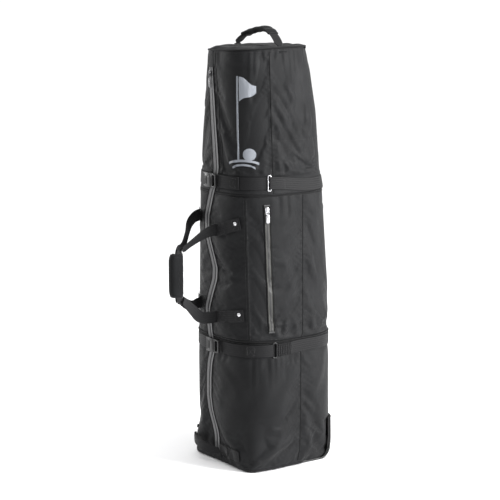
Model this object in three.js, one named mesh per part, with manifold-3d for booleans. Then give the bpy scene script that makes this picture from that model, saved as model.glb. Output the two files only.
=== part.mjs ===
// A soft golf travel case that stands upright on a wheeled base. Millimetres, +Z up.
// -Y is the front, where the main zip runs; +Y is the back, which rides on the wheels.
// +X is the side with the pocket.
// The origin is on the floor, under the middle of the base.
import * as THREE from "three";
import { mergeVertices } from "three/addons/utils/BufferGeometryUtils.js";
import Module from "manifold-3d";

const wasm = await Module();
wasm.setup();

// ---------- driving dimensions ----------
const HEIGHT = 1280; // floor to the top seam
const LOWER_SEAM = 409; // where the lower section meets the middle one
const UPPER_SEAM = 856; // where the middle section meets the hood
const LOWER_STRAP = 381; // middle of the lower compression strap
const UPPER_STRAP = 892; // middle of the upper compression strap
const GAP = 0.4; // between pieces that touch on the real case
const CLOTH = 3; // thickness of a panel with its lining
const WEBBING = 38; // width of straps and carry handles
const WEB_THICK = 2;
const CROWN = 18; // rise of the padded top at its middle
const BASE_UNDER = 4; // underside of the base panel
const BASE_THICK = 5; // the base panel with the board sewn into it

const ZIP_GAP = 30; // opening between the two front panels
const TEETH = 3; // width of one row of teeth
const PIPING_R = 2;
const PIPING_LIFT = 3.5; // from the cloth to the middle of the piping
const STRAP_LIFT = 1.6; // from the cloth to the underside of a strap

const WHEEL = { r: 32, width: 24, x: 118, y: 138, z: 33.5, hubR: 20, bearingR: 11, axleR: 4 };
const WELL = { x0: 104, x1: 132, y0: 104, z1: 68, wall: 3 };
const KICK = { halfWidth: 150, top: 131, front: -30, radius: 40, thick: 3.4, ribHeight: 3, ribHalf: 5 };

const CARRY = { rest: -14, grip: -310, middle: 608, halfGrip: 72 };
// Where each carry loop is sewn on: x of the line it turns about, and the heights of its two ends.
const CARRY_SIDES = {
  right: { way: 1, hinge: 22, upper: 742, lower: 474 },
  left: { way: -1, hinge: -82, upper: 768, lower: 500 },
};
const TOP_HANDLE = { y: -17, left: -116, right: 112, z: 1295, width: 30, foot: 11 };
const BOTTOM_HANDLE = { z: 54, width: 28, foot: 9, right: 4, left: -128, proud: 31, start: 6.5 };

// ---------- materials ----------
const material = (color, roughness, metalness = 0) =>
  new THREE.MeshStandardMaterial({ color, roughness, metalness });
const CLOTH_MATERIAL = material(0x2b2c2e, 0.75);
const WEB_MATERIAL = material(0x242425, 0.85);
const BINDING_MATERIAL = material(0x18181a, 0.6);
const TAPE_MATERIAL = material(0x77777a, 0.7);
const PLASTIC_MATERIAL = material(0x141415, 0.45);
const METAL_MATERIAL = material(0xc8c8cc, 0.28, 1);
const RUBBER_MATERIAL = material(0x1a1a1a, 0.8);
const FOAM_MATERIAL = material(0x4a4a4e, 0.95);
const BOARD_MATERIAL = material(0x303030, 0.7);

const bag = new THREE.Group();
function add(name, geometry, mat) {
  const mesh = new THREE.Mesh(geometry, mat);
  mesh.name = name;
  bag.add(mesh);
  return mesh;
}

// ---------- the outer surface of the bag ----------
// Stations up the bag: half-width, how far the front and the back stand from the axis, and how
// square the section is.
const STATIONS = [
  { z: 0, half: 160, front: 158, back: 155, square: 7 },
  { z: 60, half: 174, front: 167, back: 172, square: 4.6 },
  { z: 200, half: 177, front: 175, back: 176, square: 3.8 },
  { z: LOWER_SEAM, half: 177, front: 184, back: 182, square: 3.1 },
  { z: 560, half: 172.4, front: 183, back: 182, square: 3.1 },
  { z: UPPER_SEAM, half: 163, front: 181, back: 160, square: 3.1 },
  { z: 1100, half: 149, front: 170.9, back: 146, square: 3 },
  { z: 1220, half: 138, front: 166, back: 126, square: 3 },
  { z: HEIGHT, half: 128, front: 163.5, back: 104, square: 3 },
];

function section(z) {
  const k = STATIONS.findIndex((s) => z <= s.z);
  const b = STATIONS[k < 0 ? STATIONS.length - 1 : Math.max(k, 1)];
  const a = STATIONS[STATIONS.indexOf(b) - 1];
  const t = (z - a.z) / (b.z - a.z);
  const mix = (key) => a[key] + (b[key] - a[key]) * t;
  return { half: mix("half"), front: mix("front"), back: mix("back"), square: mix("square") };
}

const radians = (degrees) => (degrees * Math.PI) / 180;

// Moves a point of the section at height z outwards by lift, square to the surface.
function lifted(x, y, z, lift) {
  const s = section(z);
  const depth = y < 0 ? s.front : s.back;
  const nx = (Math.sign(x) * Math.abs(x / s.half) ** (s.square - 1)) / s.half;
  const ny = (Math.sign(y) * Math.abs(y / depth) ** (s.square - 1)) / depth;
  const n = Math.hypot(nx, ny);
  return [x + (nx / n) * lift, y + (ny / n) * lift, z];
}

// The point of the surface in direction angle (degrees; -90 is the front, 0 the pocket side, 90 the back).
function onBody(angle, z, lift = 0) {
  const s = section(z);
  const c = Math.cos(radians(angle));
  const sn = Math.sin(radians(angle));
  const depth = sn < 0 ? s.front : s.back;
  const r = (Math.abs(c / s.half) ** s.square + Math.abs(sn / depth) ** s.square) ** (-1 / s.square);
  return lifted(r * c, r * sn, z, lift);
}

// The point of the front (side -1) or back (side 1) surface at a given x.
function acrossBody(x, z, lift = 0, side = -1) {
  const s = section(z);
  const depth = side < 0 ? s.front : s.back;
  const y = side * depth * (1 - Math.abs(x / s.half) ** s.square) ** (1 / s.square);
  return lifted(x, y, z, lift);
}

const angleAtX = (x, z) => {
  const [px, py] = acrossBody(x, z);
  return (Math.atan2(py, px) * 180) / Math.PI;
};

// ---------- solids from grids ----------
// A closed solid from a list of points and triangles, turned to face outwards.
function solid(points, triangles) {
  let volume = 0;
  for (const corners of triangles) {
    const [p, q, r] = corners.map((k) => new THREE.Vector3(...points[k]));
    volume += p.dot(q.cross(r));
  }
  const index = triangles.flatMap(([a, b, c]) => (volume < 0 ? [a, c, b] : [a, b, c]));
  const geometry = new THREE.BufferGeometry();
  geometry.setAttribute("position", new THREE.Float32BufferAttribute(points.flat(), 3));
  geometry.setIndex(index);
  return geometry;
}

// A plate between an outer and an inner surface, each a grid of nu by nv cells.
function plate(nu, nv, outer, inner) {
  const points = [];
  const triangles = [];
  const at = (side, i, j) => (side * (nu + 1) + i) * (nv + 1) + j;
  for (const surface of [outer, inner])
    for (let i = 0; i <= nu; i++) for (let j = 0; j <= nv; j++) points.push(surface(i / nu, j / nv, i, j));
  const quad = (a, b, c, d) => triangles.push([a, b, c], [a, c, d]);
  for (let i = 0; i < nu; i++)
    for (let j = 0; j < nv; j++) {
      quad(at(0, i, j), at(0, i + 1, j), at(0, i + 1, j + 1), at(0, i, j + 1));
      quad(at(1, i, j), at(1, i, j + 1), at(1, i + 1, j + 1), at(1, i + 1, j));
    }
  for (let i = 0; i < nu; i++) {
    quad(at(0, i, 0), at(1, i, 0), at(1, i + 1, 0), at(0, i + 1, 0));
    quad(at(0, i, nv), at(0, i + 1, nv), at(1, i + 1, nv), at(1, i, nv));
  }
  for (let j = 0; j < nv; j++) {
    quad(at(0, 0, j), at(0, 0, j + 1), at(1, 0, j + 1), at(1, 0, j));
    quad(at(0, nu, j), at(1, nu, j), at(1, nu, j + 1), at(0, nu, j + 1));
  }
  return solid(points, triangles);
}

// A round plate: rings of points from the middle outwards, with a top and an underside.
function disc(around, rings, top, under) {
  const points = [top(0, 0), under(0, 0)];
  const triangles = [];
  const at = (side, k, i) => 2 + (side * rings + (k - 1)) * around + (i % around);
  for (const surface of [top, under])
    for (let k = 1; k <= rings; k++)
      for (let i = 0; i < around; i++) points.push(surface(k / rings, (360 * i) / around));
  for (let i = 0; i < around; i++) {
    triangles.push([0, at(0, 1, i), at(0, 1, i + 1)], [1, at(1, 1, i + 1), at(1, 1, i)]);
    for (let k = 1; k < rings; k++) {
      triangles.push([at(0, k, i), at(0, k + 1, i), at(0, k + 1, i + 1)]);
      triangles.push([at(0, k, i), at(0, k + 1, i + 1), at(0, k, i + 1)]);
      triangles.push([at(1, k, i), at(1, k + 1, i + 1), at(1, k + 1, i)]);
      triangles.push([at(1, k, i), at(1, k, i + 1), at(1, k + 1, i + 1)]);
    }
    triangles.push([at(0, rings, i), at(1, rings, i), at(1, rings, i + 1)]);
    triangles.push([at(0, rings, i), at(1, rings, i + 1), at(0, rings, i + 1)]);
  }
  return solid(points, triangles);
}

// A bar swept along centres: at each one, section points [a, b] lie a along sides[k] and b along ups[k].
function sweep(centres, sides, ups, outline, closed = false) {
  const m = outline.length;
  const n = centres.length;
  const points = centres.flatMap((c, k) =>
    outline.map(([a, b]) => c.map((v, axis) => v + a * sides[k][axis] + b * ups[k][axis])),
  );
  const triangles = [];
  for (let k = 0; k < (closed ? n : n - 1); k++)
    for (let i = 0; i < m; i++) {
      const [a, b] = [k * m + i, k * m + ((i + 1) % m)];
      const [c, d] = [((k + 1) % n) * m + i, ((k + 1) % n) * m + ((i + 1) % m)];
      triangles.push([a, c, d], [a, d, b]);
    }
  if (!closed)
    for (let i = 1; i < m - 1; i++) {
      triangles.push([0, i, i + 1]);
      triangles.push([(n - 1) * m, (n - 1) * m + i + 1, (n - 1) * m + i]);
    }
  return solid(points, triangles);
}

const circle = (r, sides) =>
  Array.from({ length: sides }, (_, i) => {
    const a = radians((360 * (i + 0.5)) / sides);
    return [r * Math.cos(a), r * Math.sin(a)];
  });

// ---------- cutting and joining ----------
function bareGeometry(geometry) {
  const bare = geometry.clone();
  bare.deleteAttribute("normal");
  bare.deleteAttribute("uv");
  return bare;
}

function toManifold(geometry) {
  const merged = mergeVertices(bareGeometry(geometry), 1e-4);
  return new wasm.Manifold(
    new wasm.Mesh({
      numProp: 3,
      vertProperties: merged.attributes.position.array,
      triVerts: new Uint32Array(merged.index.array),
    }),
  );
}

function fromManifold(body) {
  const mesh = body.getMesh();
  const geometry = new THREE.BufferGeometry();
  geometry.setAttribute("position", new THREE.BufferAttribute(mesh.vertProperties, 3));
  geometry.setIndex(new THREE.BufferAttribute(mesh.triVerts, 1));
  return geometry;
}

// A box between two corners.
function block([x0, y0, z0], [x1, y1, z1]) {
  const geometry = new THREE.BoxGeometry(x1 - x0, y1 - y0, z1 - z0);
  geometry.translate((x0 + x1) / 2, (y0 + y1) / 2, (z0 + z1) / 2);
  return geometry;
}

// A cylinder along X.
function rod(x0, x1, y, z, r, sides = 20) {
  const geometry = new THREE.CylinderGeometry(r, r, x1 - x0, sides);
  geometry.rotateZ(Math.PI / 2);
  geometry.translate((x0 + x1) / 2, y, z);
  return geometry;
}

const joined = (first, ...others) =>
  fromManifold(others.reduce((body, o) => body.add(toManifold(o)), toManifold(first)));
const cut = (first, ...others) =>
  fromManifold(others.reduce((body, o) => body.subtract(toManifold(o)), toManifold(first)));

// ---------- the wandering line of the main zip ----------
// x of the zip at a few heights; the top stretch, where its slider runs, is straight.
const ZIP_LINE = [
  [40, -18], [86, -12], [117, -21], [162, -40], [209, -47], [272, -42], [320, -33], [362, -15],
  [452, -32], [489, -41], [540, -21], [585, 0], [622, 3], [662, -15], [708, -37], [745, -45], [779, -44],
  [820, -30], [876, -10], [930, 4], [1275, -54.6],
];

function zipX(z) {
  const last = ZIP_LINE.length - 1;
  const found = ZIP_LINE.findIndex(([height]) => z <= height);
  const k = found < 0 ? last : Math.max(1, found);
  const [[z0, x0], [z1, x1]] = [ZIP_LINE[k - 1], ZIP_LINE[k]];
  const t = Math.max(0, (z - z0) / (z1 - z0));
  const eased = k === last ? t : t * t * (3 - 2 * t);
  return x0 + (x1 - x0) * eased;
}

const ZIP_BOTTOM = 14;
const ZIP_TOP = 1272;

// Heights at which both the zip and the panels beside it have an edge point, so that they stay apart.
const ZIP_ROWS = [ZIP_BOTTOM, LOWER_SEAM, UPPER_SEAM, 1100, 1220, ZIP_TOP]
  .concat(ZIP_LINE.map(([z]) => z).filter((z) => z < 1200))
  .sort((a, b) => a - b);
const zipRows = (z0, z1) => [z0, ...ZIP_ROWS.filter((z) => z > z0 + 1 && z < z1 - 1), z1];

// ---------- fabric panels ----------
// The seams, each the direction angle of the line at height z, on the pocket side; the other side
// mirrors them.
const mixed = (z, z0, a0, z1, a1) => a0 + ((a1 - a0) * (z - z0)) / (z1 - z0);
const SEAM = {
  hood: (z) => mixed(z, UPPER_SEAM, -25, HEIGHT, -28),
  middleFront: (z) => mixed(z, LOWER_SEAM, -47.4, UPPER_SEAM, -51.8),
  middleBack: (z) => mixed(z, LOWER_SEAM, 7.9, UPPER_SEAM, 11),
  lower: () => 5.5,
};
const mirrored = (seam) => (z) => 180 - seam(z);
const POCKET_ZIP = { top: [155.7, -98.1, 826], bottom: [170.2, -87.7, 439], gap: 16 };

const zipSide = (side) => (z) => angleAtX(zipX(z) + (side * ZIP_GAP) / 2, z);
// A panel between two seams, with an edge point at each of the heights in rows.
function panel(rows, from, to, across) {
  const trim = 0.12; // degrees, half the gap at a seam
  const [z0, z1] = [rows[0], rows.at(-1)];
  const surface = (lift) => (u, v, i, j) => {
    const z = Math.min(Math.max(rows[j], z0 + GAP / 2), z1 - GAP / 2);
    const a = from(z) + trim;
    const b = to(z) - trim;
    return onBody(a + (b - a) * u, z, lift);
  };
  return plate(across, rows.length - 1, surface(0), surface(-CLOTH));
}

const evenRows = (z0, z1, count) => Array.from({ length: count + 1 }, (_, k) => z0 + ((z1 - z0) * k) / count);

function addPanels() {
  const rightZip = zipSide(1);
  // The left panels run from the far side's seam (beyond 180 degrees) round to the zip.
  const leftZip = (z) => zipSide(-1)(z) + 360;
  const lower = zipRows(BASE_UNDER, LOWER_SEAM);
  const middle = zipRows(LOWER_SEAM, UPPER_SEAM);
  const hood = zipRows(UPPER_SEAM, HEIGHT);
  const middleRows = evenRows(LOWER_SEAM, UPPER_SEAM, 4);
  const hoodRows = [UPPER_SEAM, 980, 1100, 1220, HEIGHT];
  const lowerRows = [BASE_UNDER, 30, 60, 132, 200, 300, LOWER_SEAM];
  const parts = [
    ["lower_front_right", lower, rightZip, SEAM.lower, 10],
    ["lower_front_left", lower, mirrored(SEAM.lower), leftZip, 10],
    ["middle_front_right", middle, rightZip, SEAM.middleFront, 4],
    ["middle_front_left", middle, mirrored(SEAM.middleFront), leftZip, 4],
    ["middle_side_left", middleRows, mirrored(SEAM.middleBack), mirrored(SEAM.middleFront), 6],
    ["middle_back", middleRows, SEAM.middleBack, mirrored(SEAM.middleBack), 16],
    ["hood_front_right", hood, rightZip, SEAM.hood, 6],
    ["hood_front_left", hood, mirrored(SEAM.hood), leftZip, 6],
    ["hood_back", hoodRows, SEAM.hood, mirrored(SEAM.hood), 16],
  ];
  for (const [name, ...shape] of parts) add(name, panel(...shape), CLOTH_MATERIAL);

  // The pocket panel has a slot for the pocket zip.
  const side = panel(middleRows, SEAM.middleFront, SEAM.middleBack, 6);
  const slot = alongPocket(-POCKET_ZIP.gap / 2, POCKET_ZIP.gap / 2, -12, 12, 0, 1);
  add("middle_side_right", cut(side, slot), CLOTH_MATERIAL);

  // The lower back panel stops above the moulded wheel base.
  const back = panel(lowerRows, SEAM.lower, mirrored(SEAM.lower), 16);
  const base = block([-KICK.halfWidth - 1, 40, -10], [KICK.halfWidth + 1, 260, KICK.top + 1.5]);
  add("lower_back", cut(back, base), CLOTH_MATERIAL);

  const topEdge = (share, angle, lift) => {
    const [x, y] = onBody(angle, HEIGHT, -0.6);
    return [x * share, y * share, HEIGHT + GAP + CROWN * (1 - share ** 2.4) + lift];
  };
  const topPanel = disc(28, 3, (s, a) => topEdge(s, a, CLOTH), (s, a) => topEdge(s, a, 0));
  add("top_panel", topPanel, CLOTH_MATERIAL);
}

// ---------- the frame of the pocket zip ----------
const POCKET_AXIS = (() => {
  const top = new THREE.Vector3(...POCKET_ZIP.top);
  const bottom = new THREE.Vector3(...POCKET_ZIP.bottom);
  const down = bottom.clone().sub(top).normalize();
  const middle = onBody((Math.atan2(-93, 163) * 180) / Math.PI, 632, 0);
  const outer = onBody((Math.atan2(-93, 163) * 180) / Math.PI, 632, 1);
  const rough = new THREE.Vector3(...outer).sub(new THREE.Vector3(...middle));
  const across = new THREE.Vector3().crossVectors(down, rough).normalize();
  const out = new THREE.Vector3().crossVectors(across, down).normalize();
  return { top, down, across, out, length: top.distanceTo(bottom) };
})();

// A bar along the pocket zip: a is across it (towards the front), b is out of the surface, and
// t0..t1 its share of the length.
function alongPocket(a0, a1, b0, b1, t0, t1) {
  const { top, down, across, out, length } = POCKET_AXIS;
  const end = (t) => top.clone().addScaledVector(down, t * length).toArray();
  const outline = [[a0, b0], [a1, b0], [a1, b1], [a0, b1]];
  const frame = [across.toArray(), across.toArray()];
  return sweep([end(t0), end(t1)], frame, [out.toArray(), out.toArray()], outline);
}

addPanels();

// ---------- piping in the seams ----------
function piping(name, z, from, to, steps, closed = false) {
  const n = closed ? steps : steps + 1;
  const angles = Array.from({ length: n }, (_, i) => from + ((to - from) * i) / steps);
  const centres = angles.map((a) => onBody(a, z, PIPING_LIFT));
  const sides = angles.map((a) => {
    const [[x0, y0], [x1, y1]] = [onBody(a, z, 0), onBody(a, z, 1)];
    return [x1 - x0, y1 - y0, 0];
  });
  const ups = angles.map(() => [0, 0, 1]);
  add(name, sweep(centres, sides, ups, circle(PIPING_R, 5), closed), BINDING_MATERIAL);
}

for (const [name, z] of [["lower_seam_piping", LOWER_SEAM], ["upper_seam_piping", UPPER_SEAM]])
  piping(name, z, angleAtX(zipX(z) + 18, z), angleAtX(zipX(z) - 18, z) + 360, 36);
piping("top_piping", HEIGHT, 0, 360, 36, true);

// ---------- main zip ----------
// Each half is a strip of tape with its row of teeth along the inner edge.
function zipHalf(side) {
  const strip = (from, to) => (lift) => (u, v, i) =>
    acrossBody(zipX(ZIP_ROWS[i]) + side * (from + (to - from) * v), ZIP_ROWS[i], lift);
  const tape = strip(TEETH, ZIP_GAP / 2 - GAP);
  const teeth = strip(GAP / 2, TEETH + 0.3);
  const rows = ZIP_ROWS.length - 1;
  return joined(plate(rows, 1, tape(-1), tape(-2.4)), plate(rows, 1, teeth(0.6), teeth(-2.6)));
}
add("main_zip_right", zipHalf(1), TAPE_MATERIAL);
add("main_zip_left", zipHalf(-1), TAPE_MATERIAL);

// ---------- zip sliders and pulls ----------
// The bridge over a slider's body, which the pull hangs from: half-width, where its posts start, its
// underside and top.
const BRIDGE = { half: 1.6, post: 4.4, under: 2.7, top: 3.9, pivot: 1.35, pivotAlong: 1.2 };

// A slider's body, with its bridge for the pull, in its own frame: x across, y down the zip, z out
// of the cloth.
function sliderBody(width, length, thick) {
  const plan = new THREE.Shape();
  plan.moveTo(-width / 2, -length / 2);
  plan.lineTo(width / 2, -length / 2);
  plan.lineTo(width / 2, length * 0.1);
  plan.lineTo(width * 0.32, length / 2);
  plan.lineTo(-width * 0.32, length / 2);
  plan.lineTo(-width / 2, length * 0.1);
  const body = new THREE.ExtrudeGeometry(plan, { depth: thick, bevelEnabled: false });
  const { half, post, under, top } = BRIDGE;
  const ends = [-post - 2.4, post].map((y) => block([-half, y, thick - 0.5], [half, y + 2.4, thick + top]));
  const bar = block([-half, -post - 2.4, thick + under], [half, post + 2.4, thick + top]);
  return joined(body, ...ends, bar);
}

// A pull tab that hangs down +y; its top bar lies along x through the origin, and its eye is round
// the bridge.
function pullTab(width, length, thick) {
  const neck = width * 0.36;
  const bar = thick / 2;
  const eyeEnd = 6.9;
  const plan = new THREE.Shape();
  plan.moveTo(-neck, -bar);
  plan.lineTo(neck, -bar);
  plan.lineTo(neck, length * 0.3);
  plan.lineTo(width / 2, length * 0.5);
  plan.lineTo(width / 2, length - width * 0.25);
  plan.quadraticCurveTo(width / 2, length, 0, length);
  plan.quadraticCurveTo(-width / 2, length, -width / 2, length - width * 0.25);
  plan.lineTo(-width / 2, length * 0.5);
  plan.lineTo(-neck, length * 0.3);
  const eye = new THREE.Path();
  const eyeHalf = BRIDGE.half + 0.35;
  eye.moveTo(-eyeHalf, bar);
  eye.lineTo(-eyeHalf, eyeEnd);
  eye.lineTo(eyeHalf, eyeEnd);
  eye.lineTo(eyeHalf, bar);
  plan.holes.push(eye);
  const tab = new THREE.ExtrudeGeometry(plan, { depth: thick, bevelEnabled: false, curveSegments: 3 });
  return tab.translate(0, 0, -thick / 2);
}

// Places a geometry in a frame given by its origin and its x, y and z directions.
function placed(geometry, origin, x, y, z) {
  const matrix = new THREE.Matrix4().makeBasis(x, y, z).setPosition(origin);
  return geometry.applyMatrix4(matrix);
}

const MAIN_SLIDER = { z: 1212, lift: 1.6, width: 13, length: 17, thick: 3 };
const POCKET_SLIDER = { along: 14, lift: 1.8, width: 12, length: 16, thick: 3 };

function addSliders() {
  const at = (z) => new THREE.Vector3(...acrossBody(zipX(z), z, 0));
  const down = at(960).sub(at(1230)).normalize();
  const outward = new THREE.Vector3(0, -1, 0).addScaledVector(down, down.y).normalize();
  const across = new THREE.Vector3().crossVectors(down, outward).normalize();
  const frame = [across, down, outward];
  const seat = at(MAIN_SLIDER.z).addScaledVector(outward, MAIN_SLIDER.lift);
  const { width, length, thick } = MAIN_SLIDER;
  add("main_zip_slider", placed(sliderBody(width, length, thick), seat, ...frame), METAL_MATERIAL);
  const pivot = seat
    .clone()
    .addScaledVector(down, BRIDGE.pivotAlong)
    .addScaledVector(outward, thick + BRIDGE.pivot);
  add("main_zip_pull", placed(pullTab(9, 44, 1.5), pivot, ...frame), METAL_MATERIAL);

  const p = POCKET_AXIS;
  const sideFrame = [p.across, p.down, p.out];
  const spot = p.top
    .clone()
    .addScaledVector(p.down, POCKET_SLIDER.along)
    .addScaledVector(p.out, POCKET_SLIDER.lift);
  const body = sliderBody(POCKET_SLIDER.width, POCKET_SLIDER.length, POCKET_SLIDER.thick);
  add("pocket_zip_slider", placed(body, spot, ...sideFrame), METAL_MATERIAL);
  const hinge = spot
    .clone()
    .addScaledVector(p.down, BRIDGE.pivotAlong)
    .addScaledVector(p.out, POCKET_SLIDER.thick + BRIDGE.pivot);
  add("pocket_zip_pull", placed(pullTab(11, 40, 1.5), hinge, ...sideFrame), METAL_MATERIAL);
}

// ---------- pocket zip ----------
// Each half is a strip of tape with its teeth; both stand in the slot of the pocket panel.
function pocketHalf(side) {
  const edge = POCKET_ZIP.gap / 2 - GAP;
  const [a0, a1] = side > 0 ? [2.4, edge] : [-edge, -2.4];
  const [t0, t1] = side > 0 ? [0.2, 2.6] : [-2.6, -0.2];
  return joined(alongPocket(a0, a1, -2.2, -0.9, 0.004, 0.996), alongPocket(t0, t1, -2.4, 0.7, 0.004, 0.996));
}
add("pocket_zip_front", pocketHalf(1), TAPE_MATERIAL);
add("pocket_zip_rear", pocketHalf(-1), TAPE_MATERIAL);
addSliders();

// ---------- compression straps ----------
// A band of webbing round the bag at height z, between two direction angles.
function band(name, z, from, to, steps) {
  const surface = (lift) => (u, v) => onBody(from + (to - from) * u, z + WEBBING * (v - 0.5), lift);
  add(name, plate(steps, 1, surface(STRAP_LIFT + WEB_THICK), surface(STRAP_LIFT)), WEB_MATERIAL);
}

// A side-release buckle in its own frame: x along the strap, y out of the bag, z up.
const BUCKLE = { tall: 44, thick: 10, socket: 38, plug: 25, prong: 26, clear: 0.5 };

function socketGeometry() {
  const { tall, thick, socket } = BUCKLE;
  const shell = block([-socket, 0, -tall / 2], [0, thick, tall / 2]);
  const cavity = block([-socket + 9, 2, -tall / 2 + 3], [1, thick - 2, tall / 2 - 3]);
  const windows = block([-socket + 13, 2, -tall], [-socket + 24, thick - 2, tall]);
  const slot = block([-socket + 3, -1, -WEBBING / 2], [-socket + 6.5, thick + 1, WEBBING / 2]);
  return cut(shell, cavity, windows, slot);
}

function plugGeometry() {
  const { tall, thick, plug, prong, clear } = BUCKLE;
  const base = block([clear, 0.5, -tall / 2], [plug, thick - 1, tall / 2]);
  const slots = [7, 15.5].map((x) => block([x, -1, -WEBBING / 2], [x + 4.5, thick + 1, WEBBING / 2]));
  const inner = [2 + clear, thick - 2 - clear];
  const guide = block([-prong + 4, inner[0], -4], [clear + 1, inner[1], 4]);
  const arms = [-1, 1].map((s) => {
    const [z0, z1] = s < 0 ? [-tall / 2 + 4.2, -tall / 2 + 8] : [tall / 2 - 8, tall / 2 - 4.2];
    return block([-prong + 2, inner[0], z0], [clear + 1, inner[1], z1]);
  });
  const tabs = [-1, 1].map((s) => {
    const [z0, z1] = s < 0 ? [-tall / 2 + 3.5, -tall / 2 + 9] : [tall / 2 - 9, tall / 2 - 3.5];
    return block([-24.4, inner[0], z0], [-14.6, inner[1], z1]);
  });
  return joined(cut(base, ...slots), guide, ...arms, ...tabs);
}

// Socket and plug meet at x = seam; the plug pulls out towards +X.
function addBuckle(prefix, z, seam) {
  const y = acrossBody(seam - 16, z, STRAP_LIFT + WEB_THICK + 0.9)[1];
  const turn = (g) => g.applyMatrix4(new THREE.Matrix4().makeBasis(
    new THREE.Vector3(1, 0, 0), new THREE.Vector3(0, -1, 0), new THREE.Vector3(0, 0, -1),
  ).setPosition(seam, y, z));
  add(prefix + "_buckle_socket", turn(socketGeometry()), PLASTIC_MATERIAL);
  add(prefix + "_buckle_plug", turn(plugGeometry()), PLASTIC_MATERIAL);
}

// A wire loop round the strap, standing square to it.
function addLoop(name, angle, z, wire, wide, mat) {
  const centre = onBody(angle, z, STRAP_LIFT + WEB_THICK / 2);
  const [[x0, y0], [x1, y1]] = [onBody(angle, z, 0), onBody(angle, z, 1)];
  const out = [x1 - x0, y1 - y0, 0];
  const along = [-out[1], out[0], 0];
  const corners = [[-1, -1], [1, -1], [1, 1], [-1, 1]];
  const tall = WEBBING / 2 + wire + 1;
  const round = wire;
  const path = corners.flatMap(([a, b], k) => {
    const c = [a * (wide / 2 - round), b * (tall - round)];
    return [0, 30, 60, 90].map((t) => {
      const turn = radians(180 + 90 * k + t);
      const n = [Math.cos(turn), Math.sin(turn)];
      return { at: [c[0] + round * n[0], c[1] + round * n[1]], n };
    });
  });
  const centres = path.map(({ at: [a, b] }) => centre.map((v, i) => v + along[i] * a + (i === 2 ? b : 0)));
  const sides = path.map(({ n: [a, b] }) => along.map((v, i) => v * a + (i === 2 ? b : 0)));
  add(name, sweep(centres, sides, path.map(() => out), circle(wire / 2, 6), true), mat);
}

function addStrap(prefix, z, seam, loopAngle, hardware) {
  addBuckle(prefix, z, seam);
  const plugEnd = angleAtX(seam + 14, z);
  const socketEnd = angleAtX(seam - BUCKLE.socket + 4, z) + 360;
  // the webbing stops just short of the wire on either side of the loop
  const clear = ((hardware.wide / 2 + hardware.wire / 2 + 0.6) / 178) * (180 / Math.PI);
  band(prefix + "_strap_front", z, plugEnd, loopAngle - clear, 12);
  band(prefix + "_strap_band", z, loopAngle + clear, socketEnd, 40);
  addLoop(prefix + "_strap_" + hardware.name, loopAngle, z, hardware.wire, hardware.wide, hardware.mat);
}
addStrap("upper", UPPER_STRAP, -6, -29.2, { name: "ring", wire: 3.4, wide: 9, mat: METAL_MATERIAL });
addStrap("lower", LOWER_STRAP, 10, -24.5, { name: "loop", wire: 3.4, wide: 11, mat: PLASTIC_MATERIAL });

// ---------- carry handles ----------
// One loop of webbing from its upper anchor out to the grip and back to its lower anchor.
function carryLoop(side) {
  const { way, hinge, upper, lower } = CARRY_SIDES[side];
  const gripX = CARRY.rest + way * 4;
  const front = acrossBody(hinge, upper, 5.5)[1];
  // share of the way out from the hinge, share of the height left to the grip, tilt of the width
  // from upright, width
  const half = [
    [0, 0, 0, 36],
    [0.22, 0.06, 12, 36],
    [0.5, 0.24, 35, 34],
    [0.78, 0.52, 60, 30],
    [0.95, 0.79, 82, 26],
    [1, 1, 90, 25],
  ];
  const height = (from, to) => (share) => from + (to - from) * share;
  const down = height(upper, CARRY.middle + CARRY.halfGrip);
  const up = height(lower, CARRY.middle - CARRY.halfGrip);
  const upperRows = half.map(([t, share, tilt, w]) => [t, down(share), tilt, w]);
  const lowerRows = half.map(([t, share, tilt, w]) => [t, up(share), 180 - tilt, w]).reverse();
  const rows = [...upperRows, ...lowerRows];
  const ease = (t) => t * t * (3 - 2 * t);
  const centres = rows.map(([t, z]) => {
    return [hinge + (gripX - hinge) * ease(t), front + (CARRY.grip - front) * t, z];
  });
  const sides = rows.map(([, , tilt]) => [0, -Math.sin(radians(tilt)), Math.cos(radians(tilt))]);
  const points = (thick) => (u, v, i, j) => {
    const w = rows[i][3] * (j - 0.5);
    return centres[i].map((c, axis) => c + sides[i][axis] * w + (axis === 0 ? thick : 0));
  };
  return plate(rows.length - 1, 1, points(1.2), points(-1.2));
}
add("carry_loop_right", carryLoop("right"), WEB_MATERIAL);
add("carry_loop_left", carryLoop("left"), WEB_MATERIAL);

// The padded wrap round both loops: a sleeve that closes on the left, where its flap opens.
const WRAP = { long: 134, deep: 42, wide: 21, wall: 4 };
{
  const [z0, z1] = [-WRAP.long / 2, WRAP.long / 2].map((d) => CARRY.middle + d);
  const outer = block(
    [CARRY.rest - WRAP.wide / 2, CARRY.grip - WRAP.deep / 2, z0],
    [CARRY.rest + WRAP.wide / 2, CARRY.grip + WRAP.deep / 2, z1],
  );
  const inner = block(
    [CARRY.rest - WRAP.wide, CARRY.grip - WRAP.deep / 2 + WRAP.wall, z0 - 1],
    [CARRY.rest + WRAP.wide / 2 - WRAP.wall, CARRY.grip + WRAP.deep / 2 - WRAP.wall, z1 + 1],
  );
  add("carry_grip_wrap", cut(outer, inner), WEB_MATERIAL);
}

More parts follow.
